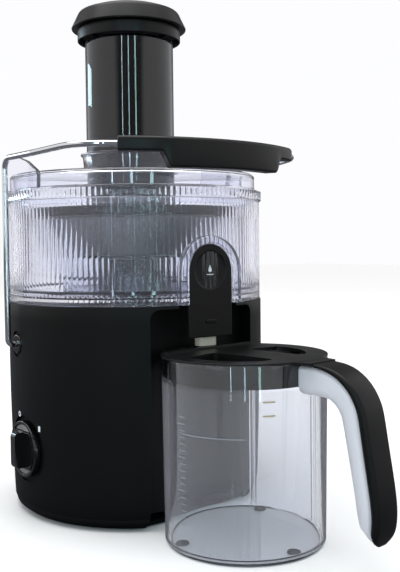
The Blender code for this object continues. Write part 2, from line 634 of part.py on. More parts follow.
def make_motor():
    turned("motor_stator", [
        (STATOR_RADIUS, STATOR_BOTTOM + STATOR_LENGTH), (STATOR_RADIUS, STATOR_BOTTOM),
        (ARMATURE_RADIUS + 0.001, STATOR_BOTTOM),
        (ARMATURE_RADIUS + 0.001, STATOR_BOTTOM + STATOR_LENGTH)], STEEL, MEDIUM_ROUND)
    low, high = STATOR_BOTTOM + 0.002, STATOR_BOTTOM + STATOR_LENGTH - 0.002
    rotor = turned("motor_rotor", [
        (0, SHAFT_TOP), (SHAFT_RADIUS, SHAFT_TOP), (SHAFT_RADIUS, high), (ARMATURE_RADIUS, high),
        (ARMATURE_RADIUS, low), (COMMUTATOR_RADIUS, low), (COMMUTATOR_RADIUS, low - COMMUTATOR_LENGTH),
        (SHAFT_RADIUS, low - COMMUTATOR_LENGTH),
        (SHAFT_RADIUS, SHAFT_BOTTOM), (0, SHAFT_BOTTOM)], COPPER, MEDIUM_ROUND)
    seat = BEARING_RADIUS + GAP
    hub = seat + 0.0032
    split = STATOR_BOTTOM + STATOR_LENGTH / 2
    bore = SHAFT_RADIUS + GAP
    inner = BRACKET_RADIUS - BRACKET_WALL
    floor = BRACKET_FLOOR
    bottom, top = BRACKET_BOTTOM, BRACKET_TOP
    turned("lower_motor_bracket", [
        (BRACKET_RADIUS, split), (BRACKET_RADIUS, bottom), (seat, bottom), (seat, bottom + BEARING_SEAT),
        (hub, bottom + BEARING_SEAT), (hub, bottom + floor), (inner, bottom + floor), (inner, split)],
        STEEL, MEDIUM_ROUND)
    turned("upper_motor_bracket", [
        (BRACKET_RADIUS, top), (BRACKET_RADIUS, split + GAP), (inner, split + GAP), (inner, top - floor),
        (hub, top - floor), (hub, top - BEARING_SEAT), (seat, top - BEARING_SEAT), (seat, top)],
        STEEL, MEDIUM_ROUND)
    for name, z in (("lower_bearing", bottom + 0.001), ("upper_bearing", top - 0.001 - BEARING_WIDTH)):
        turned(name, [(BEARING_RADIUS, z + BEARING_WIDTH), (BEARING_RADIUS, z), (bore, z),
                      (bore, z + BEARING_WIDTH)], STEEL, MEDIUM_ROUND)
    outline, hub_hole = [], []
    for i in range(FAN_BLADES):
        for share, radius in ((0.0, FAN_RADIUS), (0.35, FAN_RADIUS), (0.45, FAN_HUB_RADIUS),
                              (0.9, FAN_HUB_RADIUS)):
            outline.append(around(radius, 360 * (i + share) / FAN_BLADES))
            hub_hole.append(around(bore, 360 * (i + share) / FAN_BLADES))
    fan = ring_slab("cooling_fan", outline, hub_hole, FAN_BOTTOM, FAN_BOTTOM + FAN_HEIGHT, WHITE_NYLON)
    lobed, hub_hole = [], []
    for i in range(24):
        radius = COUPLING_RADIUS - (COUPLING_LOBE if i % 4 in (2, 3) else 0)
        lobed.append(around(radius, 15 * i))
        hub_hole.append(around(bore, 15 * i))
    coupling = ring_slab("drive_coupling", lobed, hub_hole, SHAFT_TOP - COUPLING_HEIGHT, SHAFT_TOP,
                         WHITE_NYLON)
    seal = SHAFT_HOLE_RADIUS - GAP - 0.0002
    turned("shaft_seal", [(seal, HOUSING_TOP), (seal, BAY_TOP), (bore, BAY_TOP), (bore, HOUSING_TOP)],
           RUBBER, MEDIUM_ROUND)
    for number, angle in enumerate(DAMPER_ANGLES, 1):
        x, y = around(DAMPER_CIRCLE, angle)
        rod(f"motor_damper_{number}", DAMPER_RADIUS, (x, y, COVER_FLOOR + GAP), (x, y, BRACKET_BOTTOM - GAP),
            RUBBER, 8)
    box("rotary_switch", (-SWITCH_FRONT_X, -SWITCH_HALF_WIDTH, KNOB_Z - SWITCH_HALF_HEIGHT),
        (-SWITCH_BACK_X, SWITCH_HALF_WIDTH, KNOB_Z + SWITCH_HALF_HEIGHT), WHITE_NYLON)
    box("control_board", (BOARD_X, -BOARD_HALF_WIDTH, BOARD_BOTTOM),
        (BOARD_X + BOARD_THICK, BOARD_HALF_WIDTH, BOARD_BOTTOM + BOARD_HEIGHT), BOARD_GREEN)
    y, z = BAIL_PIVOT_Y, BAIL_PIVOT_Z
    box("interlock_switch", (INTERLOCK_INNER_X, y - INTERLOCK_HALF_WIDTH, z - INTERLOCK_HALF_HEIGHT),
        (INTERLOCK_OUTER_X, y + INTERLOCK_HALF_WIDTH, z + INTERLOCK_HALF_HEIGHT), GLOSS_BLACK)
    hang(joint_empty("rotor_axis", (0, 0, SHAFT_BOTTOM)), rotor, fan, coupling)


def make_bowl():
    floor, floor_top, inside = BOWL_FLOOR, BOWL_FLOOR_TOP, BOWL_INSIDE
    tube_inside = HUB_TUBE_RADIUS - BOWL_WALL
    bowl = turned("juice_bowl", [
        (BOWL_RADIUS, BOWL_TOP), (BOWL_RADIUS, BOWL_BOTTOM), (inside, BOWL_BOTTOM), (inside, floor),
        (tube_inside, floor), (tube_inside, HUB_TUBE_TOP), (HUB_TUBE_RADIUS, HUB_TUBE_TOP),
        (HUB_TUBE_RADIUS, floor_top), (inside, floor_top), (inside, BOWL_TOP)], CLEAR)
    back = DRIP_STOP_FACE_Y + DRIP_STOP_THICK
    arch = slab("spout_arch", round_topped(SPOUT_HALF_WIDTH, BOWL_BOTTOM, SPOUT_TOP, SPOUT_HALF_WIDTH),
                SPOUT_FACE_Y, back + 0.0027, "Y")
    cut(bowl, arch, "UNION")
    pocket_half = DRIP_STOP_HALF_WIDTH + RUNNING_GAP
    pocket_top = DRIP_STOP_TOP + RUNNING_GAP
    pocket = slab("drip_stop_pocket",
                  round_topped(pocket_half, BOWL_BOTTOM - CUT_PAST, pocket_top, pocket_half),
                  SPOUT_FACE_Y - CUT_PAST, back + GAP, "Y")
    cut(bowl, pocket)
    nozzle_back = back + GAP + NOZZLE_DEPTH
    hole_half = NOZZLE_WIDTH / 2 - NOZZLE_WALL
    cut(bowl, box("juice_outlet", (-hole_half, back + 0.0034, floor - 0.01),
                  (hole_half, nozzle_back - NOZZLE_WALL, floor + 0.01)))

    corner = NOZZLE_CORNER
    low_y, high_y = back + GAP, nozzle_back
    half = NOZZLE_WIDTH / 2

    def rounded_box(inset):
        x, y0, y1 = half - corner, low_y + corner, high_y - corner
        radius = corner - inset
        return (arc((x, y1), radius, 0, 90, 3) + arc((-x, y1), radius, 90, 180, 3)
                + arc((-x, y0), radius, 180, 270, 3) + arc((x, y0), radius, 270, 360, 3))

    nozzle = ring_slab("pour_nozzle", rounded_box(0), rounded_box(NOZZLE_WALL), NOZZLE_BOTTOM,
                       BOWL_BOTTOM - GAP, PALE_GREY)

    drip_stop = slab("drip_stop", round_topped(DRIP_STOP_HALF_WIDTH, DRIP_STOP_BOTTOM, DRIP_STOP_TOP,
                                               DRIP_STOP_HALF_WIDTH, 8),
                     DRIP_STOP_FACE_Y, back, "Y", BLACK_PLASTIC)
    cut(drip_stop, rod("drip_stop_dish", DRIP_STOP_DISH_RADIUS,
                       (0, DRIP_STOP_FACE_Y + DRIP_STOP_DISH_DEPTH, DRIP_STOP_DISH_Z),
                       (0, DRIP_STOP_FACE_Y - CUT_PAST, DRIP_STOP_DISH_Z), sides=32))

    floor_gap = floor_top + 0.0015
    wall = COLLECTOR_WALL
    skirt_outside = BASKET_SKIRT_RADIUS + 0.0030
    collector_top = BASKET_RIM_TOP - BASKET_RIM_HEIGHT - 0.0022
    collector = turned("juice_collector", [
        (COLLECTOR_TOP_RADIUS, collector_top), (COLLECTOR_BOTTOM_RADIUS, floor_gap),
        (skirt_outside, floor_gap), (skirt_outside, COLLECTOR_INNER_TOP),
        (skirt_outside + wall, COLLECTOR_INNER_TOP),
        (skirt_outside + wall, floor_gap + wall), (COLLECTOR_BOTTOM_RADIUS - wall + 0.0008, floor_gap + wall),
        (COLLECTOR_TOP_RADIUS - wall - 0.0004, collector_top)], CLEAR)
    slope = (COLLECTOR_TOP_RADIUS - COLLECTOR_BOTTOM_RADIUS) / (collector_top - floor_gap)
    start = -(COLLECTOR_BOTTOM_RADIUS + slope * (CHANNEL_TOP - floor_gap) + 0.0010)
    foot, half = floor_top + GAP, CHANNEL_HALF_WIDTH
    bore, roof = half - CHANNEL_WALL, CHANNEL_TOP - CHANNEL_WALL
    channel = slab("juice_channel", [
        (-half, foot), (-half, CHANNEL_TOP), (half, CHANNEL_TOP), (half, foot), (bore, foot),
        (bore, roof), (-bore, roof), (-bore, foot)], back + 0.0030, start, "Y", CLEAR)
    hang(joint_empty("bowl_axis", (0, 0, BOWL_BOTTOM)), bowl, nozzle, collector, channel)
    hang(joint_empty("drip_stop_axis", (0, DRIP_STOP_FACE_Y, DRIP_STOP_DISH_Z)), drip_stop)


def make_basket():
    rim_bottom = BASKET_RIM_TOP - BASKET_RIM_HEIGHT
    mesh_top = rim_bottom - GAP
    rim = turned("basket_rim", [
        (BASKET_RIM_RADIUS, BASKET_RIM_TOP), (BASKET_RIM_RADIUS, rim_bottom),
        (MESH_TOP_RADIUS - 0.0030, rim_bottom), (MESH_TOP_RADIUS - 0.0010, BASKET_RIM_TOP)], BLACK_PLASTIC)
    across = MESH_WALL + 0.0004
    mesh = turned("sieve_mesh", [
        (MESH_TOP_RADIUS, mesh_top), (MESH_BOTTOM_RADIUS, MESH_BOTTOM),
        (MESH_BOTTOM_RADIUS - across, MESH_BOTTOM), (MESH_TOP_RADIUS - across, mesh_top)], STEEL)
    grating = turned("grating_disc", [
        (0, MESH_BOTTOM + 0.0035), (0.0100, MESH_BOTTOM + 0.0030), (0.0120, MESH_BOTTOM + 0.0012),
        (MESH_BOTTOM_RADIUS - MESH_WALL - 0.0012, MESH_BOTTOM + 0.0012),
        (MESH_BOTTOM_RADIUS - MESH_WALL - 0.0012, MESH_BOTTOM), (0, MESH_BOTTOM)], STEEL)
    top = MESH_BOTTOM - GAP
    skirt = BASKET_SKIRT_RADIUS
    socket_bore = COUPLING_RADIUS + 0.0010
    plate = top - 0.0040
    hub = turned("basket_hub", [
        (0, top), (MESH_BOTTOM_RADIUS, top), (MESH_BOTTOM_RADIUS, top - 0.0025), (skirt, plate),
        (skirt, BASKET_SKIRT_BOTTOM), (skirt - BASKET_SKIRT_WALL, BASKET_SKIRT_BOTTOM),
        (skirt - BASKET_SKIRT_WALL, plate),
        (socket_bore + 0.0035, plate), (socket_bore + 0.0035, SOCKET_BOTTOM), (socket_bore, SOCKET_BOTTOM),
        (socket_bore, plate - 0.001), (0, plate - 0.001)], BLACK_PLASTIC)
    hang(joint_empty("basket_axis", (0, 0, BASKET_SKIRT_BOTTOM)), rim, mesh, grating, hub)


def make_lid():
    lip = BOWL_INSIDE - GAP - 0.0002
    lip_inside = lip - LID_WALL
    tier = LID_TIER_RADIUS
    dome = LID_DOME
    lid = turned("lid", [
        (0, dome + 0.0010), (CHUTE_RADIUS + 0.006, dome + 0.0005), (tier - 0.0020, LID_TIER_TOP + 0.0015),
        (tier, LID_TIER_TOP), (tier, LID_LEDGE + 0.0008), (LID_SKIRT_RADIUS, LID_LEDGE),
        (LID_SKIRT_RADIUS, LID_BOTTOM), (lip, LID_BOTTOM), (lip, LID_BOTTOM - LID_LIP),
        (lip_inside, LID_BOTTOM - LID_LIP), (tier - LID_WALL, LID_LEDGE + 0.0008),
        (tier - LID_WALL, LID_TIER_TOP - 0.0010), (CHUTE_RADIUS + 0.006, dome - LID_WALL),
        (0, dome - LID_WALL + 0.0005)], CLEAR)
    bore = CHUTE_RADIUS + GAP
    neck_foot = dome - 0.0015
    neck = turned("lid_neck", [
        (bore - 0.001, NECK_TOP), (NECK_FLANGE_RADIUS, NECK_TOP), (NECK_FLANGE_RADIUS, NECK_TOP - 0.0018),
        (NECK_RADIUS, NECK_TOP - 0.0026), (bore + 0.0022, neck_foot), (bore - 0.001, neck_foot)])
    neck.location = (0, CHUTE_SET_BACK, 0)
    cut(lid, neck, "UNION")
    for side, name in ((-1, "left_ear"), (1, "right_ear")):
        y = EAR_CENTRE_Y
        rear, front = y + EAR_HALF_LENGTH - 0.003, y - EAR_HALF_LENGTH
        foot = LID_LEDGE - 0.001
        outline = [(rear, foot), (rear, EAR_TOP - 0.006)]
        outline += arc((rear - 0.006, EAR_TOP - 0.006), 0.006, 0, 90, 3)
        outline += [(y + 0.006, EAR_TOP - 0.001), (y - 0.010, EAR_TOP - 0.0055),
                    (y - 0.022, EAR_TOP - 0.0110), (front, LID_TIER_TOP), (front, foot)]
        outer = tier - 0.0002
        low, high = sorted((side * outer, side * (outer - EAR_THICK)))
        cut(lid, slab(name, outline, low, high, "X"), "UNION")
    chute_bore = rod("chute_bore", bore, (0, CHUTE_SET_BACK, LID_BOTTOM - CUT_PAST),
                     (0, CHUTE_SET_BACK, NECK_TOP + CUT_PAST), sides=ROUND)
    cut(lid, chute_bore)
    chute = turned("feed_chute", [
        (CHUTE_RADIUS, CHUTE_TOP), (CHUTE_RADIUS, CHUTE_BOTTOM), (CHUTE_RADIUS - CHUTE_WALL, CHUTE_BOTTOM),
        (CHUTE_RADIUS - CHUTE_WALL, CHUTE_TOP)], SMOKED)
    chute.location = (0, CHUTE_SET_BACK, 0)
    hang(joint_empty("lid_axis", (0, 0, LID_BOTTOM)), lid, chute)


def make_pusher():
    radius, wall = PUSHER_RADIUS, PUSHER_WALL
    bottom = CHUTE_BOTTOM + 0.0005
    tube = turned("pusher_tube", [
        (0, bottom + wall), (radius - wall, bottom + wall), (radius - wall, CHUTE_TOP), (radius, CHUTE_TOP),
        (radius, bottom), (0, bottom)], BLACK_PLASTIC)
    collar_top, bore = COLLAR_BOTTOM + COLLAR_HEIGHT, radius - 0.006
    collar = turned("pusher_collar", [
        (COLLAR_RADIUS, collar_top), (COLLAR_RADIUS, COLLAR_BOTTOM), (bore, COLLAR_BOTTOM),
        (bore, collar_top)], BLACK_PLASTIC)
    top = CAP_BOTTOM + CAP_HEIGHT
    crown, shoulder, crease = CAP_RADIUS - 0.0199, CAP_RADIUS - 0.0064, CAP_RADIUS - 0.0029
    cap = turned("pusher_cap", [
        (0, top), (crown, top), (shoulder, top - CAP_HEIGHT * 0.262), (crease, top - CAP_HEIGHT * 0.654),
        (CAP_RADIUS, top - CAP_HEIGHT * 0.942), (CAP_RADIUS, CAP_BOTTOM), (0, CAP_BOTTOM)],
        BLACK_PLASTIC)
    for obj in (tube, collar, cap):
        obj.location = (0, CHUTE_SET_BACK, 0)
    hang(joint_empty("pusher_axis", (0, CHUTE_SET_BACK, CHUTE_TOP)), tube, collar, cap)


def handle_section(angle):
    """The bail handle's cross-section at an angle either side of the front, as a ring of points."""
    centre_y = HANDLE_FRONT_Y + HANDLE_OUTER_RADIUS
    outward = Vector((math.sin(angle), -math.cos(angle), 0))
    x = HANDLE_OUTER_RADIUS * math.sin(angle)
    past = max(0.0, abs(x) - HANDLE_SKIRT_HALF_WIDTH + 0.004) / 0.008
    share = min(1.0, past)
    ease = share * share * (3 - 2 * share)
    height = HANDLE_SKIRT_HEIGHT + (HANDLE_END_HEIGHT - HANDLE_SKIRT_HEIGHT) * ease
    outer, inner = HANDLE_OUTER_RADIUS, HANDLE_OUTER_RADIUS - HANDLE_DEPTH
    edge = HANDLE_EDGE
    top, bottom = HANDLE_TOP, HANDLE_TOP - height
    corners = ((outer, bottom + edge), (outer, top - edge), (outer - edge, top), (inner + edge, top),
               (inner, top - edge), (inner, bottom + edge), (inner + edge, bottom), (outer - edge, bottom))
    return [Vector((0, centre_y, 0)) + outward * radius + Vector((0, 0, z)) for radius, z in corners]


def make_bail():
    reach = math.asin(HANDLE_HALF_WIDTH / HANDLE_OUTER_RADIUS)
    stations = 24
    angles = [reach * (2 * i / stations - 1) for i in range(stations + 1)]
    handle = loft("bail_handle", [handle_section(angle) for angle in angles], BLACK_PLASTIC)
    end = sum(handle_section(reach), Vector()) / 8
    end_normal = Vector((math.cos(reach), math.sin(reach), 0))
    rod_end = end + end_normal * GAP
    straight = end + end_normal * 0.012
    head = PIVOT_RECESS_X + GAP - BUSH_INNER_END
    rods = []
    for side, name in ((-1, "bail_rod_left"), (1, "bail_rod_right")):
        points = [(side * (BUSH_INNER_END + 0.0010), BAIL_PIVOT_Y, BAIL_PIVOT_Z),
                  (side * BAIL_LEG_X, BAIL_PIVOT_Y, BAIL_PIVOT_Z),
                  (side * BAIL_LEG_X, BAIL_PIVOT_Y, BAIL_TOP),
                  (side * BAIL_LEG_X, BAIL_SHOULDER_Y, BAIL_TOP),
                  (side * BAIL_BEND_X, BAIL_BEND_Y, straight.z),
                  (side * straight.x, straight.y, straight.z),
                  (side * rod_end.x, rod_end.y, rod_end.z)]
        line = filleted(points, BAIL_FILLETS)
        rods.append(wire(name, line, BAIL_ROD_RADIUS, CHROME))
        bush = turned(f"pivot_bush_{name[9:]}", [
            (BAIL_ROD_RADIUS + 0.0005, 0), (BAIL_ROD_RADIUS + 0.0005, BUSH_LENGTH),
            (BUSH_HEAD_RADIUS - 0.0005, BUSH_LENGTH), (BUSH_HEAD_RADIUS, BUSH_LENGTH - 0.0010),
            (BUSH_HEAD_RADIUS, head), (BUSH_RADIUS, head), (BUSH_RADIUS, 0)],
            GLOSS_BLACK, MEDIUM_ROUND)
        bush.location = (side * BUSH_INNER_END, BAIL_PIVOT_Y, BAIL_PIVOT_Z)
        bush.rotation_euler = (0, side * math.pi / 2, 0)
    hang(joint_empty("bail_axis", (0, BAIL_PIVOT_Y, BAIL_PIVOT_Z)), handle, *rods)


def make_knob():
    """The knob is built about Z and then turned to face -X, its fin upright."""
    back = KNOB_DISH_X + GAP
    face = KNOB_BODY_THICK
    lip = face + KNOB_LIP
    stem = STEM_END_X - back
    tray = KNOB_RADIUS - KNOB_RIM
    knob = turned("switch_knob", [
        (tray, face), (tray, lip), (KNOB_RADIUS, lip - 0.0006),
        (KNOB_RADIUS, 0), (STEM_RADIUS, 0), (STEM_RADIUS, stem), (0, stem)][::-1] + [(0, face)],
        GLOSS_BLACK, 40)
    half_band = GRIP_BAND_HEIGHT / 2
    band = box("grip_band", (-half_band, -tray - 0.001, face - 0.001),
               (half_band, tray + 0.001, lip + 0.0012))
    cut(knob, band, "UNION")
    half_fin, fin_top = FIN_THICK / 2, FIN_OUT - back
    tip, bend = FIN_HEIGHT / 2 - FIN_CORNER, fin_top - FIN_CORNER
    fin = [(FIN_HEIGHT / 2, face - 0.001)] + arc((tip, bend), FIN_CORNER, 0, 90, 4)
    fin += arc((-tip, bend), FIN_CORNER, 90, 180, 4) + [(-FIN_HEIGHT / 2, face - 0.001)]
    fin_shape = slab("grip_fin", fin, -half_fin, half_fin, "Y")
    cut(knob, fin_shape, "UNION")
    plates = []
    plate_radius = tray - GAP - 0.0002
    chord = half_band + GAP
    spread = math.degrees(math.acos(chord / plate_radius))
    for name, turn in (("dial_segment_top", 0), ("dial_segment_bottom", 180)):
        outline = arc((0, 0), plate_radius, turn - spread, turn + spread, 10)
        plates.append(slab(name, outline, face + GAP, lip - 0.0008, "Z", SILVER))
    axis = joint_empty("knob_axis", (0, 0, 0))
    for obj in (knob, band, fin_shape, *plates):
        obj.parent = axis
    axis.matrix_world = Matrix.Translation((-back, 0, KNOB_Z)) @ Matrix.Rotation(-math.pi / 2, 4, "Y")


def handle_bar(name, near_depth, far_depth, width, stations, finish=None):
    """A bar that follows the handle's outer line in the jug's own frame, where out is -Y, between
    two depths behind that line. Its last stations narrow to a rounded end."""
    rings = []
    for i, station in enumerate(stations):
        before, after = stations[max(i - 1, 0)], stations[min(i + 1, len(stations) - 1)]
        along = Vector((after[0] - before[0], after[1] - before[1])).normalized()
        inward = Vector((along.y, -along.x))
        near, far = near_depth(station), far_depth(station)
        left_over = len(stations) - 1 - i
        half = width / 2 * (0.55, 0.80, 0.94, 1.0)[min(left_over, 3)]
        bevel = min(0.0022, (far - near) * 0.4)
        corners = ((half - bevel, near), (half, near + bevel), (half, far - bevel), (half - bevel, far))
        corners += tuple((-side, depth) for side, depth in reversed(corners))
        outer = Vector((station[0], station[1]))
        ring = []
        for side, depth in corners:
            point = outer + inward * depth
            ring.append((side, -point.x, point.y))
        rings.append(ring)
    return loft(name, rings, finish)


def lid_segment(side):
    """A D-shaped outline in one half of the jug's lid, between an arc and a chord."""
    curve = arc((0, 0), SEGMENT_RADIUS, -SEGMENT_FRONT, SEGMENT_BACK, 8)
    chord = [(SEGMENT_CHORD_X, curve[-1][1]), (SEGMENT_CHORD_X, curve[0][1])]
    return [(side * x, y) for x, y in curve + chord]


def make_jug():
    base = FLOOR_Z
    inner_floor = base + JUG_FLOOR
    wall = JUG_WALL
    jug = turned("jug_body", [
        (0, inner_floor), (JUG_BOTTOM_RADIUS - wall, inner_floor), (JUG_TOP_RADIUS - wall, JUG_TOP),
        (JUG_TOP_RADIUS, JUG_TOP), (JUG_BOTTOM_RADIUS, base + JUG_FLOOR),
        (JUG_BOTTOM_RADIUS - JUG_FOOT_CHAMFER, base),
        (0, base)], CLEAR)
    stations = smooth_line([(JUG_TOP_RADIUS + out, JUG_TOP + up, grip_depth, core_depth)
                            for out, up, grip_depth, core_depth in HANDLE_LINE], 2)
    first = stations[0]
    roots = [Vector((x, *first[1:])) for x in (JUG_TOP_RADIUS - wall / 2, JUG_TOP_RADIUS + 0.006)]
    core = handle_bar("handle_core_shape", lambda s: s[2] + GAP, lambda s: s[2] + GAP + s[3], CORE_WIDTH,
                      [*roots, *stations])
    cut(jug, core, "UNION")
    grip = handle_bar("jug_grip", lambda s: 0, lambda s: s[2], GRIP_WIDTH, stations, BLACK_PLASTIC)

    plate_bottom = JUG_TOP - 0.0012
    flange_bottom = JUG_TOP + GAP
    flange_top = flange_bottom + JUG_LID_PLATE
    skirt_wall = JUG_LID_WALL
    lid = turned("jug_lid", [
        (0, flange_top), (JUG_LID_FLANGE_RADIUS, flange_top), (JUG_LID_FLANGE_RADIUS, flange_bottom),
        (JUG_LID_RADIUS, flange_bottom),
        (JUG_LID_RADIUS, JUG_TOP - JUG_LID_SKIRT), (JUG_LID_RADIUS - skirt_wall, JUG_TOP - JUG_LID_SKIRT),
        (JUG_LID_RADIUS - skirt_wall, plate_bottom), (0, plate_bottom)], BLACK_PLASTIC)
    tab = box("lid_tab", (-LID_TAB_HALF_WIDTH, -LID_TAB_END, flange_bottom),
              (LID_TAB_HALF_WIDTH, -JUG_LID_RADIUS, flange_top))
    cut(lid, tab, "UNION")
    spread = math.degrees(math.acos(INLET_Y / INLET_RADIUS))
    inlet = slab("inlet_opening", arc((0, 0), INLET_RADIUS, 90 - spread, 90 + spread, 8),
                 JUG_TOP - 0.004, JUG_TOP + CUT_PAST)
    pour = slab("pour_opening", lid_segment(1), JUG_TOP - 0.004, JUG_TOP + CUT_PAST)
    dip = slab("finger_dip", lid_segment(-1), flange_top - DIP_DEPTH, JUG_TOP + CUT_PAST)
    for cutter in (inlet, pour, dip):
        cut(lid, cutter)
    separator = box("foam_separator", (SEPARATOR_X, -SEPARATOR_HALF_WIDTH, inner_floor + SEPARATOR_LIFT),
                    (SEPARATOR_X + SEPARATOR_THICK, SEPARATOR_HALF_WIDTH, JUG_TOP - JUG_LID_SKIRT - GAP),
                    CLEAR)
    axis = joint_empty("jug_axis", (0, JUG_Y, 0), JUG_TURN)
    for obj in (jug, core, grip, lid, tab, inlet, pour, dip, separator):
        obj.parent = axis


clear_scene()
make_housing()
make_bottom_cover()
make_motor()
make_bowl()
make_basket()
make_lid()
make_pusher()
make_bail()
make_knob()
make_jug()
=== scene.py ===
import math

import bmesh
import bpy
import numpy as np
from mathutils import Matrix, Vector


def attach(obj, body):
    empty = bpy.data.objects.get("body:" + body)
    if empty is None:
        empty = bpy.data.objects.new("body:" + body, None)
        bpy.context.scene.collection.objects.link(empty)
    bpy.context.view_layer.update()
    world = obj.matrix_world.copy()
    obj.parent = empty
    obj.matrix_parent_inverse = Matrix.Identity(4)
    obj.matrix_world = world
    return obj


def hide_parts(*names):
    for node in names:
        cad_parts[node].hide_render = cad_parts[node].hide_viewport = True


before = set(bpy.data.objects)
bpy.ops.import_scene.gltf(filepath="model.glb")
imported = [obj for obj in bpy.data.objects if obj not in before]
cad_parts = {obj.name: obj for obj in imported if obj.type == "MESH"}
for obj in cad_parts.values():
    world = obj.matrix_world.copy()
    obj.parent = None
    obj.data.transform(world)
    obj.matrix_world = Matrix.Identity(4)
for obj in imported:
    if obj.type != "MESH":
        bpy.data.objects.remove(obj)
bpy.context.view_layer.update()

# ---- Studio ----
# White paper on a table under a white tent, with a wide light above, three tall strips in front and
# a small card behind. The feet and the jug stand on it, 1.5 mm below the bottom cover.

FLOOR_Z = -0.0015
FLOOR_REACH = 6.0


def linear(colour):
    """An sRGB hex colour as linear RGBA: each channel is ((c + 0.055) / 1.055) to the power 2.4,
    or c / 12.92 near black."""
    channels = [int(colour[i:i + 2], 16) / 255 for i in (0, 2, 4)]
    return tuple(c / 12.92 if c < 0.04045 else ((c + 0.055) / 1.055) ** 2.4 for c in channels) + (1.0,)


def feed(tree, node, inputs):
    """Sets each of a node's inputs to a value, or links it from another node's socket."""
    for name, value in inputs.items():
        if isinstance(value, bpy.types.NodeSocket):
            tree.links.new(value, node.inputs[name])
        else:
            node.inputs[name].default_value = value
    return node


def add_node(tree, kind, inputs=None, **settings):
    """A node with its settings, and its inputs set or linked."""
    made = tree.nodes.new(kind)
    for name, value in settings.items():
        setattr(made, name, value)
    return feed(tree, made, inputs or {})


def new_material(name):
    """A material, with its node tree and its shader."""
    made = bpy.data.materials.new(name)
    made.use_nodes = True
    return made, made.node_tree, made.node_tree.nodes["Principled BSDF"]


def noise(tree, scale, detail=2.0):
    """A noise through the piece, from 0 to 1. Its cells are one unit of the piece over the scale."""
    coords = add_node(tree, "ShaderNodeTexCoord")
    return add_node(tree, "ShaderNodeTexNoise", {"Vector": coords.outputs["Object"], "Scale": scale,
                                                 "Detail": detail}).outputs["Fac"]


def ranged(tree, value, low, high, start=0.0, end=1.0):
    """A value that runs from low to high as its source runs from start to end."""
    return add_node(tree, "ShaderNodeMapRange", {
        "Value": value, "From Min": start, "From Max": end, "To Min": low, "To Max": high}).outputs["Result"]


def blend(tree, factor, first, second):
    """A colour between two, by a factor."""
    return add_node(tree, "ShaderNodeMix", {"Factor": factor, "A": first, "B": second},
                    data_type="RGBA").outputs["Result"]


def bumped(tree, height, strength, depth):
    """The normal of a surface that a height stands up by a depth."""
    return add_node(tree, "ShaderNodeBump", {"Height": height, "Strength": strength,
                                             "Distance": depth}).outputs["Normal"]


def put_mesh(name, points, faces):
    """A piece from its points and faces, with doubled points merged and faces turned outwards."""
    mesh = bpy.data.meshes.new(name)
    mesh.from_pydata(points, [], faces)
    bm = bmesh.new()
    bm.from_mesh(mesh)
    bmesh.ops.remove_doubles(bm, verts=bm.verts, dist=1e-6)
    bmesh.ops.recalc_face_normals(bm, faces=bm.faces)
    bm.to_mesh(mesh)
    bm.free()
    piece = bpy.data.objects.new(name, mesh)
    bpy.context.scene.collection.objects.link(piece)
    return piece


sweep = put_mesh("floor", [(x * FLOOR_REACH, y * FLOOR_REACH, FLOOR_Z)
                           for x, y in ((-1, -1), (1, -1), (1, 1), (-1, 1))], [(0, 1, 2, 3)])
paper, tree, shader = new_material("white_backdrop_paper")
# White to look at, and painted grey where a gloss mirrors it: a painted dimming of the floor's reflection in
# glossy pieces
rays = add_node(tree, "ShaderNodeLightPath")
painted_reflection_dimming = add_node(tree, "ShaderNodeMath", {0: rays.outputs["Is Glossy Ray"],
                                             1: rays.outputs["Is Transmission Ray"]},
                    operation="SUBTRACT", use_clamp=True)
feed(tree, shader, {
    "Base Color": blend(tree, painted_reflection_dimming.outputs["Value"], linear("f7f7f6"), linear("5c5c60")),
    "Roughness": 0.9, "Specular IOR Level": 0.1})
sweep.data.materials.append(paper)

# The camera stands at the left front, a little above the bowl, and looks slightly down.
CAMERA_DISTANCE = 0.7944
CAMERA_AZIMUTH = math.radians(-32.235)
CAMERA_HEIGHT = 0.2312
CAMERA_YAW = math.radians(4.2716)
CAMERA_PITCH = math.radians(2.862)
CAMERA_ROLL = math.radians(-0.6087)
to_side = Vector((math.cos(CAMERA_AZIMUTH), math.sin(CAMERA_AZIMUTH), 0))
ahead = Vector((-math.sin(CAMERA_AZIMUTH), math.cos(CAMERA_AZIMUTH), 0))
up = Vector((0, 0, 1))
aim = math.cos(CAMERA_YAW) * ahead + math.sin(CAMERA_YAW) * to_side
side = math.cos(CAMERA_YAW) * to_side - math.sin(CAMERA_YAW) * ahead
view = math.cos(CAMERA_PITCH) * aim - math.sin(CAMERA_PITCH) * up
rise = math.cos(CAMERA_PITCH) * up + math.sin(CAMERA_PITCH) * aim
camera_x = math.cos(CAMERA_ROLL) * side + math.sin(CAMERA_ROLL) * rise
camera_y = math.cos(CAMERA_ROLL) * rise - math.sin(CAMERA_ROLL) * side
camera = bpy.data.objects.new("camera", bpy.data.cameras.new("camera"))
camera.data.lens = 54.16
camera.data.sensor_width = 36
place = -ahead * CAMERA_DISTANCE + up * CAMERA_HEIGHT
turn = Matrix((camera_x, camera_y, -view)).transposed().to_4x4()
camera.matrix_world = Matrix.Translation(place) @ turn
bpy.context.scene.collection.objects.link(camera)
bpy.context.scene.camera = camera

tent = bpy.data.worlds.new("studio_tent")
tent.use_nodes = True
tree = tent.node_tree
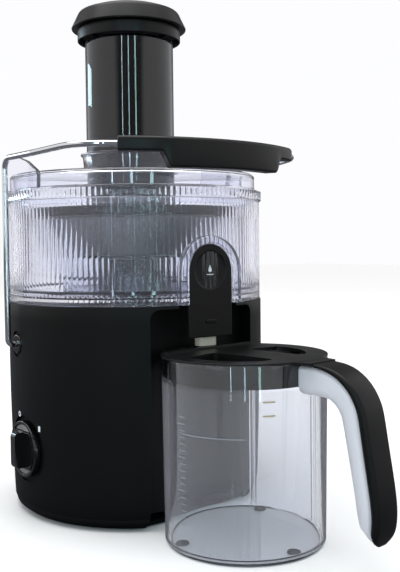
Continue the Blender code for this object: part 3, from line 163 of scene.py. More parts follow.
# White straight ahead and through clear pieces. Seen in a gloss, it is two broad pale screens at
# the left and the right, with the dark of the room between them.
SCREEN_EDGE = (0.45, 0.62)
ROOM_LIGHT, SCREEN_LIGHT = 0.16, 0.95
rays = add_node(tree, "ShaderNodeLightPath")
straight_on = add_node(tree, "ShaderNodeMath", {0: rays.outputs["Is Camera Ray"],
                                                1: rays.outputs["Is Transmission Ray"]},
                       operation="MAXIMUM")
direction = add_node(tree, "ShaderNodeTexCoord")
across = add_node(tree, "ShaderNodeVectorMath", {0: direction.outputs["Generated"], 1: to_side},
                  operation="DOT_PRODUCT")
beside = add_node(tree, "ShaderNodeMath", {0: across.outputs["Value"]}, operation="ABSOLUTE")
screens = ranged(tree, beside.outputs["Value"], ROOM_LIGHT, SCREEN_LIGHT, *SCREEN_EDGE)
light = add_node(tree, "ShaderNodeMix", {"Factor": straight_on.outputs["Value"], "A": screens, "B": 1.0})
feed(tree, tree.nodes["Background"], {"Color": linear("fdfdff"), "Strength": light.outputs["Result"]})
bpy.context.scene.world = tent


def soft_light(name, place, target, width, height, power, colour="ffffff"):
    """A rectangular soft light at a place, facing a target."""
    lamp = bpy.data.lights.new(name, "AREA")
    lamp.shape, lamp.color = "RECTANGLE", linear(colour)[:3]
    lamp.size, lamp.size_y, lamp.energy = width, height, power
    holder = bpy.data.objects.new(name, lamp)
    holder.location = place
    holder.rotation_euler = (Vector(target) - Vector(place)).to_track_quat("-Z", "Y").to_euler()
    bpy.context.scene.collection.objects.link(holder)


soft_light("top_softbox", (-0.2, 0.3, 2.2), (0, 0, 0.2), 2.0, 2.0, 22)
soft_light("left_strip", (-1.06, -0.85, 0.50), (0, 0, 0.30), 0.03, 1.0, 1.5, "d4eaf6")
soft_light("middle_strip", (-0.77, -1.12, 0.50), (0, 0, 0.30), 0.05, 1.0, 1.8, "bcdcea")
soft_light("right_strip", (-0.40, -1.30, 0.50), (0, 0, 0.30), 0.07, 1.0, 2.4, "b4dedc")
soft_light("window_card", (-0.49, 1.30, 0.66), (0, 0, 0.38), 0.50, 0.14, 2.0, "b8d8e6")
overhead = bpy.data.objects.new("overhead_light", bpy.data.lights.new("overhead_light", "SUN"))
overhead.data.energy = 1.9
overhead.data.angle = math.radians(70)
bpy.context.scene.collection.objects.link(overhead)
bpy.context.scene.view_settings.view_transform = "Standard"

# ---- Motor housing ----
# A drum of black ABS, moulded with a fine spark-eroded grain. Its front is set back in a bay for
# the jug, and it has a dish for the knob and two round recesses for the bail's bushes.

HOUSING_TOP = 0.1810
HOUSING_FOOT = 0.0093
HOUSING_RADIUS = 0.1146
HOUSING_FOOT_RADIUS = 0.1118
HOUSING_WALL = 0.0030
BAY_HALF_WIDTH = 0.0515
BAY_BACK_Y = -0.0870
BAY_TOP = 0.1785
BAY_CORNER = 0.0080
NOTCH_HALF_WIDTH = 0.0290
NOTCH_BACK_Y = -0.0985
SHAFT_HOLE = 0.0118
KNOB_Z = 0.0579
KNOB_PAD = 0.0315
KNOB_DISH = 0.0285
KNOB_DISH_X = 0.1100
STEM_HOLE = 0.0042
PIVOT_Y = 0.0115
PIVOT_Z = 0.1465
PIVOT_PAD = 0.0145
PIVOT_RECESS = 0.0112
PIVOT_RECESS_X = 0.1118
BUSH_HOLE = 0.0058
BUSH_BACK_X = 0.1057
CORD_Z = 0.0240
CORD_HOLE = 0.0070
OUTSIDE = 0.1400


def corner_arc(before, corner, after, radius, steps):
    """The arc that rounds a corner, or the corner itself where the line runs nearly straight. Its
    centre lies on the corner's bisector, at radius / sin(half the corner) from it."""
    back = (before - corner) / np.linalg.norm(before - corner)
    on = (after - corner) / np.linalg.norm(after - corner)
    half = math.acos(max(-1.0, min(1.0, back @ on))) / 2
    if radius <= 0 or half > 1.55:
        return [corner]
    reach, swing = radius / math.tan(half), math.pi - 2 * half
    centre = corner + (back + on) / np.linalg.norm(back + on) * radius / math.sin(half)
    start, end = corner + back * reach - centre, corner + on * reach - centre
    t = np.linspace(0, 1, steps + 1)[:, None]
    return centre + (np.sin((1 - t) * swing) * start + np.sin(t * swing) * end) / math.sin(swing)


def rounded(corners, steps=5):
    """A closed outline with each corner (a, b, radius) turned into an arc."""
    points = [np.array(corner[:2]) for corner in corners]
    line = []
    for i, (point, corner) in enumerate(zip(points, corners)):
        line.extend(corner_arc(points[i - 1], point, points[(i + 1) % len(points)], corner[2], steps))
    return np.array(line)


def grid_faces(rows, columns, wrap_rows, wrap_columns):
    """The four corners of each cell of a grid of points, by rows, wrapped round where it closes."""
    i, j = np.meshgrid(np.arange(rows - (not wrap_rows)), np.arange(columns - (not wrap_columns)),
                       indexing="ij")
    i2, j2 = (i + 1) % rows, (j + 1) % columns
    cells = np.stack([i * columns + j, i2 * columns + j, i2 * columns + j2, i * columns + j2], axis=-1)
    return cells.reshape(-1, 4)


def turned(name, profile, centre=(0.0, 0.0), sides=160, closed=True, ripple=None):
    """A profile of (radius, height) points carried round an upright axis: x = cx + r cos a,
    y = cy + r sin a, z = height. A ripple changes the radius with the angle and the height."""
    angles = np.linspace(0, 2 * math.pi, sides, endpoint=False)
    radius = np.repeat(profile[:, :1], sides, axis=1)
    height = np.repeat(profile[:, 1:], sides, axis=1)
    if ripple is not None:
        radius = radius + ripple(radius, height, angles[None, :])
    points = np.stack([centre[0] + radius * np.cos(angles), centre[1] + radius * np.sin(angles), height],
                      axis=-1)
    faces = grid_faces(len(profile), sides, closed, True)
    return put_mesh(name, points.reshape(-1, 3), faces.tolist())


def pushed(name, outline, low, high, axis="z"):
    """A flat outline pushed from low to high along an axis. Its points are (x, y), (x, z) along y,
    or (y, z) along x."""
    count = len(outline)
    ends = []
    for level in (low, high):
        at = np.full(count, level)
        columns = {"z": (outline[:, 0], outline[:, 1], at), "y": (outline[:, 0], at, outline[:, 1]),
                   "x": (at, outline[:, 0], outline[:, 1])}[axis]
        ends.append(np.stack(columns, axis=-1))
    faces = grid_faces(2, count, False, True).tolist()
    faces += [list(range(count)), list(range(count, 2 * count))]
    return put_mesh(name, np.concatenate(ends), faces)


def joined(piece, tool, operation="DIFFERENCE"):
    """The piece with the tool cut from it, added to it, or with only what both share. The tool
    is used up."""
    step = piece.modifiers.new("join", "BOOLEAN")
    step.object, step.operation, step.solver = tool, operation, "EXACT"
    made = bpy.data.meshes.new_from_object(piece.evaluated_get(bpy.context.evaluated_depsgraph_get()))
    piece.modifiers.clear()
    piece.data = made
    bpy.data.objects.remove(tool)
    return piece


def smooth(piece, degrees=32):
    """Shades the piece smooth, apart from its edges sharper than an angle."""
    piece.data.shade_smooth()
    piece.data.set_sharp_from_angle(angle=math.radians(degrees))
    return piece


def soft_edges(piece, width, segments=3, degrees=35):
    """Rounds the edges where faces meet at more than an angle."""
    step = piece.modifiers.new("soft_edges", "BEVEL")
    step.width, step.segments, step.limit_method = width, segments, "ANGLE"
    step.angle_limit, step.harden_normals = math.radians(degrees), False
    return piece


def fit(piece, finish, body, slot, *nodes):
    """The piece takes its finish, rides on a body and stands for CAD nodes."""
    piece.data.materials.clear()
    piece.data.materials.append(finish)
    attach(piece, body)
    if nodes:
        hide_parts(*nodes)
    return piece


def moulded_plastic(name, colour, roughness, specular, grain_mm, grain_depth, mottle=0.06):
    """Moulded plastic with a fine grain, slightly uneven in gloss. The grain is a noise whose cells
    are grain_mm across, and grain_depth is how far it stands up."""
    made, tree, shader = new_material(name)
    grain = noise(tree, 1000 / grain_mm, 3.0)
    dark = tuple(c * 0.85 for c in linear(colour)[:3]) + (1.0,)
    feed(tree, shader, {
        "Base Color": blend(tree, grain, dark, linear(colour)),
        "Roughness": ranged(tree, noise(tree, 24.0, 3.0), roughness - mottle, roughness + mottle, 0.3, 0.7),
        "Normal": bumped(tree, grain, 0.35, grain_depth), "Specular IOR Level": specular, "IOR": 1.53})
    return made


def upright(half_width, low, high, corner, lower_corner=0.0):
    """A rounded-topped upright outline, (across, height)."""
    return rounded([(half_width, low, lower_corner), (half_width, high, corner),
                    (-half_width, high, corner), (-half_width, low, lower_corner)], 10)


def block(half, low, high, corner):
    """A rounded rectangle between two levels, 2 * half wide about the middle."""
    return rounded([(-half, low, corner), (half, low, corner), (half, high, corner), (-half, high, corner)])


def disc(y, z, radius, sides=72):
    """A round outline, (y, z) = centre + radius (cos a, sin a)."""
    angles = np.linspace(0, 2 * math.pi, sides, endpoint=False)
    return np.stack([y + radius * np.cos(angles), z + radius * np.sin(angles)], axis=-1)


def housing_radius(height, inset=0.0):
    """Upright above the middle, and drawn in below it by the square of the way down."""
    share = (height - HOUSING_FOOT) / (HOUSING_TOP - HOUSING_FOOT)
    drawn_in = (HOUSING_RADIUS - HOUSING_FOOT_RADIUS) * np.maximum(0, 1 - 1.4 * share) ** 2
    return HOUSING_RADIUS - drawn_in - inset


heights = np.linspace(HOUSING_TOP - 0.0012, HOUSING_FOOT + 0.0008, 16)
outer = np.stack([housing_radius(heights), heights], axis=-1)
inner_heights = np.linspace(HOUSING_FOOT, BAY_TOP, 10)
inner = np.stack([housing_radius(inner_heights, HOUSING_WALL), inner_heights], axis=-1)
top_edge = np.array([(SHAFT_HOLE, HOUSING_TOP), (0.1100, HOUSING_TOP),
                     (HOUSING_RADIUS - 0.0012, HOUSING_TOP), (HOUSING_RADIUS - 0.0004, HOUSING_TOP - 0.0004)])
foot_edge = np.array([(HOUSING_FOOT_RADIUS - 0.0003, HOUSING_FOOT + 0.0002),
                      (HOUSING_FOOT_RADIUS - 0.0010, HOUSING_FOOT)])
housing = turned("housing", np.concatenate([top_edge, outer, foot_edge, inner, [(SHAFT_HOLE, BAY_TOP)]]))
solid_heights = np.linspace(HOUSING_TOP - 0.0005, HOUSING_FOOT + 0.0001, 12)
core = turned("housing_core", np.concatenate([
    [(0.0, solid_heights[0])], np.stack([housing_radius(solid_heights, 0.0004), solid_heights], axis=-1),
    [(0.0, solid_heights[-1])]]), closed=False)
lining = pushed("lining", upright(BAY_HALF_WIDTH + HOUSING_WALL, -0.01, 0.19, 0), -OUTSIDE,
                BAY_BACK_Y + HOUSING_WALL, "y")
pads = [pushed("knob_pad", disc(0, KNOB_Z, KNOB_PAD), -0.13, -0.1040, "x")]
pads += [pushed("pivot_pad", disc(PIVOT_Y, PIVOT_Z, PIVOT_PAD), *ends, "x")
         for ends in ((-0.13, -0.1033), (0.1033, 0.13))]
for pad in pads:
    joined(lining, pad, "UNION")
joined(lining, core, "INTERSECT")
joined(housing, lining, "UNION")
cutters = [
    pushed("bay", upright(BAY_HALF_WIDTH, -0.02, BAY_TOP, BAY_CORNER), -OUTSIDE, BAY_BACK_Y, "y"),
    pushed("notch", upright(NOTCH_HALF_WIDTH, 0.165, 0.20, 0), -OUTSIDE, NOTCH_BACK_Y, "y"),
    pushed("knob_dish", disc(0, KNOB_Z, KNOB_DISH), -OUTSIDE, -KNOB_DISH_X, "x"),
    pushed("stem_hole", disc(0, KNOB_Z, STEM_HOLE), -OUTSIDE, -0.09, "x")]
for radius, depth in ((PIVOT_RECESS, PIVOT_RECESS_X), (BUSH_HOLE, BUSH_BACK_X)):
    for ends in ((-OUTSIDE, -depth), (depth, OUTSIDE)):
        cutters.append(pushed("pivot_cut", disc(PIVOT_Y, PIVOT_Z, radius), *ends, "x"))
cutters.append(pushed("cord_hole", disc(0, CORD_Z, CORD_HOLE), 0.09, OUTSIDE, "y"))
for cutter in cutters:
    joined(housing, cutter)
soft_edges(smooth(housing), 0.0007, 2, 50)
# Black ABS with an even grain of about 0.3 mm: a deep black that shines only softly
housing_plastic = moulded_plastic("black_abs_fine_grain", "0b0c0c", 0.46, 0.14, 0.35, 0.00006)
fit(housing, housing_plastic, "base", "housing_black", "motor_housing")

# ---- Bottom cover ----
# A black ABS tray screwed up into the housing from below. It draws in to the underside, has vent
# slots under the motor, and pockets for the rubber feet.

COVER_TOP = 0.0090
COVER_FLOOR = 0.0035
COVER_RADIUS = 0.1106
LIP_RADIUS = 0.1080
LIP_TOP = 0.0130
FOOT_PLACE = 0.0880
FOOT_POCKET = 0.0079
FIRST_VENT_Y = 0.0215
VENT_PITCH = 0.0080
VENT_HALF_LENGTH = 0.0300
VENT_HALF_WIDTH = 0.0015
cover = turned("cover", rounded([
    (0.0001, COVER_FLOOR, 0), (0.1055, COVER_FLOOR, 0), (0.1055, LIP_TOP, 0.0005),
    (LIP_RADIUS, LIP_TOP, 0.0005), (LIP_RADIUS, COVER_TOP, 0), (COVER_RADIUS, COVER_TOP, 0.0006),
    (COVER_RADIUS, 0.0052, 0.0030), (0.1040, 0, 0.0020), (0.0001, 0, 0)]))
cutters = [pushed("cover_bay", upright(BAY_HALF_WIDTH, -0.02, 0.05, 0), -OUTSIDE, BAY_BACK_Y, "y"),
           pushed("register_bay", upright(BAY_HALF_WIDTH + 0.004, COVER_TOP, 0.05, 0), -OUTSIDE,
                  BAY_BACK_Y + 0.004, "y")]
for degrees in (60, 120, 235, 305):
    angle = math.radians(degrees)
    pocket = disc(FOOT_PLACE * math.cos(angle), FOOT_PLACE * math.sin(angle), FOOT_POCKET, 32)
    cutters.append(pushed("foot_pocket", pocket, -0.01, 0.0018))
for i in range(5):
    vent_y = FIRST_VENT_Y + VENT_PITCH * i
    cutters.append(pushed("vent", block(VENT_HALF_LENGTH, vent_y - VENT_HALF_WIDTH, vent_y + VENT_HALF_WIDTH,
                                        0.0014), -0.01, 0.01))
for cutter in cutters:
    joined(cover, cutter)
fit(smooth(cover), housing_plastic, "base", "housing_black", "bottom_cover")

# ---- Switch knob ----
# A knob of polished black plastic on the rotary switch's stem, with a grip band and a fin across
# it. Two silver-painted plates lie in its tray, above and below the band.

KNOB_FACE_X = -0.1103
KNOB_PLACE = Matrix.Translation((KNOB_FACE_X, 0, KNOB_Z)) @ Matrix.Rotation(-math.pi / 2, 4, "Y")
KNOB_RADIUS = 0.0240
TRAY_RADIUS = 0.0213
TRAY_FLOOR = 0.0033
BAND_HALF_WIDTH = 0.0155
FIN_HALF_WIDTH = 0.0040
FIN_TOP = 0.0145
PLATE_RADIUS = 0.0208
PLATE_GAP = 0.0159


def laid(piece, matrix):
    """The piece's points moved by a matrix, so that the object itself stays at the origin."""
    piece.data.transform(matrix)
    return piece


def polished_plastic(name, colour, roughness, coat):
    """Polished plastic: an even colour under a smooth coat, with faint long waves in the mould."""
    made, tree, shader = new_material(name)
    waves = noise(tree, 45.0)
    feed(tree, shader, {
        "Roughness": ranged(tree, waves, roughness * 0.7, roughness * 1.4),
        "Normal": bumped(tree, waves, 0.12, 0.0004), "Base Color": linear(colour),
        "Coat Weight": coat, "Coat Roughness": 0.04, "Specular IOR Level": 0.4})
    return made


knob_profile = np.concatenate([[(0, TRAY_FLOOR)], rounded([
    (0.0214, TRAY_FLOOR, 0.0003), (0.0214, 0.0058, 0.0005), (KNOB_RADIUS, 0.0058, 0.0008),
    (KNOB_RADIUS, 0, 0.0006), (0.0035, 0, 0), (0.0035, -0.0073, 0), (0, -0.0073, 0),
    (0, TRAY_FLOOR, 0)])[:-1]])
knob = turned("knob", knob_profile, sides=120, closed=False)
spread = math.acos(BAND_HALF_WIDTH / TRAY_RADIUS)
a = np.concatenate([np.linspace(spread, math.pi - spread, 20),
                    np.linspace(math.pi + spread, 2 * math.pi - spread, 20)])
band_outline = TRAY_RADIUS * np.stack([np.cos(a), np.sin(a)], axis=-1)
joined(knob, pushed("band", band_outline, 0.0020, 0.0066), "UNION")
fin_outline = rounded([(-0.0155, 0.0020, 0), (0.0155, 0.0020, 0), (0.0150, FIN_TOP, 0.0040),
                       (-0.0150, FIN_TOP, 0.0040)], 8)
joined(knob, pushed("fin", fin_outline, -FIN_HALF_WIDTH, FIN_HALF_WIDTH, "y"), "UNION")
laid(knob, KNOB_PLACE)
soft_edges(smooth(knob), 0.0007, 3, 40)
# Polished black ABS: reads as black glass, with sharp highlights along the fin
knob_plastic = polished_plastic("polished_black_abs", "0a0a0b", 0.10, 0.5)
fit(knob, knob_plastic, "knob", "gloss_black", "switch_knob")

# Silver paint with fine flake on plastic: a soft grey metal. The flake is drawn 0.4 mm across.
silver_paint, tree, shader = new_material("silver_painted_plastic")
flake = blend(tree, noise(tree, 2500.0), linear("8f8d8c"), linear("b9b6b4"))
feed(tree, shader, {"Base Color": flake, "Metallic": 0.7, "Roughness": 0.38})
reach = math.acos(PLATE_GAP / PLATE_RADIUS)
for name, middle, node in (("upper_plate", 0.0, "dial_segment_top"),
                           ("lower_plate", math.pi, "dial_segment_bottom")):
    a = np.linspace(middle - reach, middle + reach, 24)
    outline = np.stack([PLATE_RADIUS * np.cos(a), PLATE_RADIUS * np.sin(a)], axis=-1)
    plate = laid(pushed(name, outline, 0.0036, 0.0050), KNOB_PLACE)
    fit(soft_edges(smooth(plate), 0.0004, 2), silver_paint, "knob", "silver_paint", node)

# ---- Dial marks ----
# An off ring and an on bar, pad-printed in white on the housing above the knob.

white_ink = moulded_plastic("white_pad_print", "dcdfe2", 0.5, 0.3, 0.3, 0.00001)


def on_housing(y, z):
    """A place on the housing's side by its y and height, with the surface's outward as local z."""
    radius = float(housing_radius(np.array(z)))
    angle = math.asin(y / radius)
    outward = Vector((-math.cos(angle), math.sin(angle), 0))
    across = Vector((0, 0, 1)).cross(outward)
    turn = Matrix((across, Vector((0, 0, 1)), outward)).transposed().to_4x4()
    return Matrix.Translation((outward.x * radius, outward.y * radius, z)) @ turn


off_mark = turned("off_mark", rounded([(0.0013, 0.00012, 0), (0.0024, 0.00012, 0), (0.0024, -0.0003, 0),
                                       (0.0013, -0.0003, 0)]), sides=40)
on_mark = pushed("on_mark", block(0.0013, -0.0023, 0.0023, 0.0003), -0.0003, 0.00012)
fit(smooth(laid(off_mark, on_housing(0.0080, 0.0868))), white_ink, "base", "nozzle_grey")
fit(laid(on_mark, on_housing(-0.0240, 0.0785)), white_ink, "base", "nozzle_grey")

# ---- Locking bail ----
# A black bar over the lid's front, held by two bent rods of chromed steel that turn in bushes
# low on the housing's sides. It swings forward to free the lid.

BAIL_LEG_X = 0.1215
BAIL_TOP = 0.3040
BAR_RADIUS = 0.1765
BAR_CENTRE_Y = 0.0360
BAR_TOP = 0.3125
BAR_DEPTH = 0.0125
BAR_REACH = math.asin(0.0880 / BAR_RADIUS)
BAR_MIDDLE = BAR_RADIUS - BAR_DEPTH / 2
BAR_SKIRT_HEIGHT = 0.0235
BAR_END_HEIGHT = 0.0115
SKIRT_ENDS = (-0.0495, 0.0585)
SKIRT_SLOPE = 0.0075
BAIL_WIRE_RADIUS = 0.0025
BUSH_X = 0.1060


def filleted(points, radii, steps=10):
    """A line through space with its inner corners rounded."""
    points = [np.array(point) for point in points]
    line = [points[0]]
    for before, corner, after, radius in zip(points, points[1:], points[2:], radii):
        line.extend(corner_arc(before, corner, after, radius, steps))
    return np.array(line + [points[-1]])


def carried(name, rings, closed_ends=True):
    """A skin over a row of rings, each an array of points, with flat ends."""
    count, around = rings.shape[:2]
    faces = grid_faces(count, around, False, True).tolist()
    if closed_ends:
        faces += [list(range(around)), list(range((count - 1) * around, count * around))]
    return put_mesh(name, rings.reshape(-1, 3), faces)


def round_wire(name, path, radius, sides=24):
    """A round wire: at each point of the path a ring of radius * (cos a * n + sin a * b), where n
    and b are square to the path and n is carried along without twisting."""
    along = np.gradient(path, axis=0)
    along /= np.linalg.norm(along, axis=1)[:, None]
    normal = np.cross(along[0], (0.0, 0.0, 1.0) if abs(along[0][2]) < 0.9 else (0.0, 1.0, 0.0))
    normals = []
    for direction in along:
        normal = normal - direction * (normal @ direction)
        normal = normal / np.linalg.norm(normal)
        normals.append(normal)
    normals = np.array(normals)
    second = np.cross(along, normals)
    a = np.linspace(0, 2 * math.pi, sides, endpoint=False)
    rings = path[:, None] + radius * (np.cos(a)[None, :, None] * normals[:, None]
                                      + np.sin(a)[None, :, None] * second[:, None])
    return carried(name, rings)


bar_end = np.array([BAR_MIDDLE * math.sin(BAR_REACH), BAR_CENTRE_Y - BAR_MIDDLE * math.cos(BAR_REACH),
                    BAR_TOP - 0.00575])
leaving = np.array([math.cos(BAR_REACH), math.sin(BAR_REACH), 0])
# Chromed steel wire: a mirror, broken only by faint polishing marks along it
chrome, tree, shader = new_material("chromed_steel_wire")
feed(tree, shader, {"Roughness": ranged(tree, noise(tree, 160.0, 4.0), 0.04, 0.12),
                    "Base Color": linear("dcdde0"), "Metallic": 1.0})
for side_sign, name in ((-1, "left"), (1, "right")):
    flip = np.array([side_sign, 1, 1])
    corners = [(0.1070, PIVOT_Y, PIVOT_Z), (BAIL_LEG_X, PIVOT_Y, PIVOT_Z), (BAIL_LEG_X, PIVOT_Y, BAIL_TOP),
               (BAIL_LEG_X, -0.0450, BAIL_TOP), (0.1130, -0.0900, bar_end[2]), bar_end + leaving * 0.012,
               bar_end + leaving * 0.0002]
    path = filleted(corners, (0.0045, 0.010, 0.060, 0.040, 0.020)) * flip
    fit(smooth(round_wire(f"bail_wire_{name}", path, BAIL_WIRE_RADIUS)), chrome, "bail", "bail_chrome",
        f"bail_rod_{name}")

stations = np.concatenate([np.linspace(-1, -0.975, 7)[:-1], np.linspace(-0.975, 0.975, 120),
                           np.linspace(0.975, 1, 7)[1:]])
angles = stations * BAR_REACH
from_end = (1 - np.abs(stations)) / 0.025
round_off = np.where(from_end < 1, np.sqrt(np.maximum(0.0, 1 - (1 - from_end) ** 2)) * 0.12 + 0.88, 1.0)
offsets = BAR_RADIUS * np.sin(angles)
share = np.clip(np.maximum(offsets - SKIRT_ENDS[1], SKIRT_ENDS[0] - offsets) / SKIRT_SLOPE, 0, 1)
ease = share * share * (3 - 2 * share)
height = BAR_SKIRT_HEIGHT + (BAR_END_HEIGHT - BAR_SKIRT_HEIGHT) * ease
rings = []
for angle, tall, keep in zip(angles, height, round_off):
    outline = rounded([(0, 0, 0.0034), (BAR_DEPTH, 0, 0.0018), (BAR_DEPTH, tall, 0.0014),
                       (0, tall, 0.0018)])
    middle = np.array([BAR_DEPTH / 2, 0.0058])
    outline = middle + (outline - middle) * keep
    radius = BAR_RADIUS - outline[:, 0]
    rings.append(np.stack([radius * math.sin(angle), BAR_CENTRE_Y - radius * math.cos(angle),
                           BAR_TOP - outline[:, 1]], axis=-1))
# Black ABS with a fine satin texture: softer and darker in its highlights than the lid's parts
satin_black = moulded_plastic("black_abs_satin", "0b0b0c", 0.36, 0.22, 0.25, 0.00003)
fit(smooth(carried("bail_bar", np.array(rings)), 50), satin_black, "bail", "satin_black", "bail_handle")

bush_profile = rounded([(0.0030, 0, 0), (0.0030, 0.0085, 0.0003), (0.0078, 0.0085, 0.0012),
                        (0.0085, 0.0062, 0.0004), (0.0055, 0.0062, 0), (0.0055, 0, 0)])
for side_sign, name in ((-1, "left"), (1, "right")):
    bush = turned(f"bush_{name}", bush_profile, sides=64)
    laid(bush, Matrix.Translation((side_sign * BUSH_X, PIVOT_Y, PIVOT_Z))
         @ Matrix.Rotation(side_sign * math.pi / 2, 4, "Y"))
    fit(smooth(bush), knob_plastic, "base", "gloss_black", f"pivot_bush_{name}")

# ---- Bowl ----
# A bowl of clear SAN plastic, fluted all round outside by some 160 upright ribs, with a plain
# line over a band of short ribs at its foot. An arch on its front holds the drip stop.

BOWL_RADIUS = 0.1137
BOWL_WALL = 0.0025
BOWL_FOOT = 0.1813
BOWL_RIM = 0.2682
BOWL_FLOOR = 0.1840
RIB_COUNT = 160
RIB_DEPTH = 0.00048
SHORT_RIBS = (0.1821, 0.1899)
LONG_RIBS = (0.1936, BOWL_RIM - 0.0010)
ARCH_HALF = 0.0305
ARCH_TOP = 0.2373
POCKET_HALF = 0.0227
POCKET_TOP = 0.2312
POCKET_BACK_Y = -0.1112


def ribs(bands, reach=BOWL_RADIUS - 0.0004):
    """Upright half-round ribs: the radius falls by RIB_DEPTH * (1 - |sin(count * angle / 2)|) ** 1.6
    within bands of height, on the outer side only."""
    def ripple(radius, height, angle):
        inside = np.zeros_like(height)
        for low, high in bands:
            inside = np.maximum(inside, np.clip((height - low) / 0.0006, 0, 1)
                                * np.clip((high - height) / 0.0006, 0, 1))
        groove = (1 - np.abs(np.sin(RIB_COUNT * angle / 2))) ** 1.6
        return -RIB_DEPTH * groove * inside * (radius > reach)
    return ripple


def clear_plastic(name, colour, roughness, haze, ior=1.55, haze_colour="f4f4fa", haze_top=None):
    """Clear plastic: refracts and mirrors, holds a little white haze, and lets lamps through. The haze may
    end at a height, and the wall above it is then clear."""
    made, tree, shader = new_material(name)
    feed(tree, shader, {"Roughness": ranged(tree, noise(tree, 30.0), roughness * 0.6, roughness * 1.4),
                        "Base Color": linear(colour), "Transmission Weight": 1.0, "IOR": ior})
    milk = add_node(tree, "ShaderNodeBsdfTranslucent", {"Color": linear(haze_colour)})
    if haze_top is not None:
        coords = add_node(tree, "ShaderNodeTexCoord")
        place = add_node(tree, "ShaderNodeSeparateXYZ", {"Vector": coords.outputs["Object"]})
        haze = ranged(tree, place.outputs["Z"], haze, 0.0, haze_top - 0.001, haze_top)
    veil = add_node(tree, "ShaderNodeMixShader", {0: haze, 1: shader.outputs["BSDF"],
                                                  2: milk.outputs["BSDF"]})
    open_air = add_node(tree, "ShaderNodeBsdfTransparent", {"Color": linear(colour)})
    rays = add_node(tree, "ShaderNodeLightPath")
    both = add_node(tree, "ShaderNodeMixShader", {0: rays.outputs["Is Shadow Ray"],
                                                  1: veil.outputs["Shader"], 2: open_air.outputs["BSDF"]})
    feed(tree, tree.nodes["Material Output"], {"Surface": both.outputs["Shader"]})
    return made


# Clear SAN: bright edges and a faint violet in the thick of it, with a slight milky bloom
clear_san = clear_plastic("clear_san_plastic", "f3f4fb", 0.015, 0.025, 1.42, "e8eaf6")

wall_inside = BOWL_RADIUS - BOWL_WALL
heights = np.concatenate([
    [BOWL_RIM - 0.0004], np.linspace(BOWL_RIM - 0.0012, LONG_RIBS[0], 10),
    [0.1929, 0.1912, 0.1906, SHORT_RIBS[1]], np.linspace(0.1888, 0.1828, 4),
    [SHORT_RIBS[0], BOWL_FOOT + 0.0003]])
outside = np.stack([np.full_like(heights, BOWL_RADIUS), heights], axis=-1)
# From the foot inwards: the floor, the socket for the drive, and up the wall to the rim
inside = np.array([
    (BOWL_RADIUS - 0.0003, BOWL_FOOT), (wall_inside + 0.0003, BOWL_FOOT), (wall_inside, BOWL_FOOT + 0.0003),
    (wall_inside, BOWL_FLOOR), (0.0275, BOWL_FLOOR), (0.0275, 0.2118), (0.0278, 0.2120), (0.0297, 0.2120),
    (0.0300, 0.2118), (0.0300, 0.1872), (0.0306, 0.1865), (wall_inside - 0.0015, 0.1865),
    (wall_inside, 0.1880), (wall_inside, BOWL_RIM - 0.0003), (wall_inside + 0.0003, BOWL_RIM),
    (BOWL_RADIUS - 0.0004, BOWL_RIM)])
bowl = turned("bowl", np.concatenate([outside, inside]), sides=RIB_COUNT * 8,
              ripple=ribs((SHORT_RIBS, LONG_RIBS)))
fit(smooth(bowl, 40), clear_san, "bowl", "clear_plastic", "juice_bowl")

arch = pushed("spout_arch", upright(ARCH_HALF, 0.1816, ARCH_TOP, ARCH_HALF - 0.0001), -0.1165, -0.1090, "y")
joined(arch, pushed("pocket", upright(POCKET_HALF, 0.17, POCKET_TOP, POCKET_HALF - 0.0001), -0.13,
                    POCKET_BACK_Y, "y"))
soft_edges(smooth(arch), 0.0008, 3, 40)
fit(arch, clear_san, "bowl", "clear_plastic")

floor_edge = turned("bowl_floor_edge", rounded([
    (0.1108, 0.1926, 0.0003), (0.1108, 0.1908, 0.0003), (0.1040, 0.1908, 0.0003), (0.1040, 0.1926, 0.0003)]))
# A deep violet-grey ring just inside the wall above the floor: painted shade, a dark line standing in for the
# dark the floor's thick edge shows
painted_edge_shade = clear_plastic("clear_san_painted_dark_edge", "3a3858", 0.08, 0.45, haze_colour="2a2940")
fit(smooth(floor_edge), painted_edge_shade, "bowl", "clear_plastic")

# ---- Juice collector ----
# A clear ring in the bowl under the sieve: it catches the juice and leads it to the spout.

collector = turned("collector", rounded([
    (0.0965, 0.2530, 0.0005), (0.0660, 0.1880, 0.002), (0.0400, 0.1880, 0.0005), (0.0400, 0.2050, 0.0004),
    (0.0420, 0.2050, 0.0004), (0.0420, 0.1900, 0.001), (0.0648, 0.1900, 0.002), (0.0941, 0.2530, 0.0005)]))
fit(smooth(collector), clear_san, "bowl", "clear_plastic", "juice_collector")
channel = pushed("outlet_channel", rounded([
    (-0.0105, 0.1868, 0), (-0.0105, 0.2000, 0.002), (0.0105, 0.2000, 0.002), (0.0105, 0.1868, 0),
    (0.0090, 0.1868, 0), (0.0090, 0.1985, 0.001), (-0.0090, 0.1985, 0.001), (-0.0090, 0.1868, 0)]),
    -0.1085, -0.0730, "y")
fit(smooth(channel), clear_san, "bowl", "clear_plastic", "juice_channel")

# ---- Sieve basket ----
# A steel cone with photo-etched holes, pressed between a black rim and a black hub, with a toothed
# disc in its floor. It spins on the motor's drive.

rim = turned("rim", rounded([(0.0934, 0.2632, 0.0012), (0.0934, 0.2552, 0.0008), (0.0860, 0.2552, 0.0004),
                             (0.0880, 0.2632, 0.0008)]))
fit(smooth(rim), satin_black, "basket", "satin_black", "basket_rim")

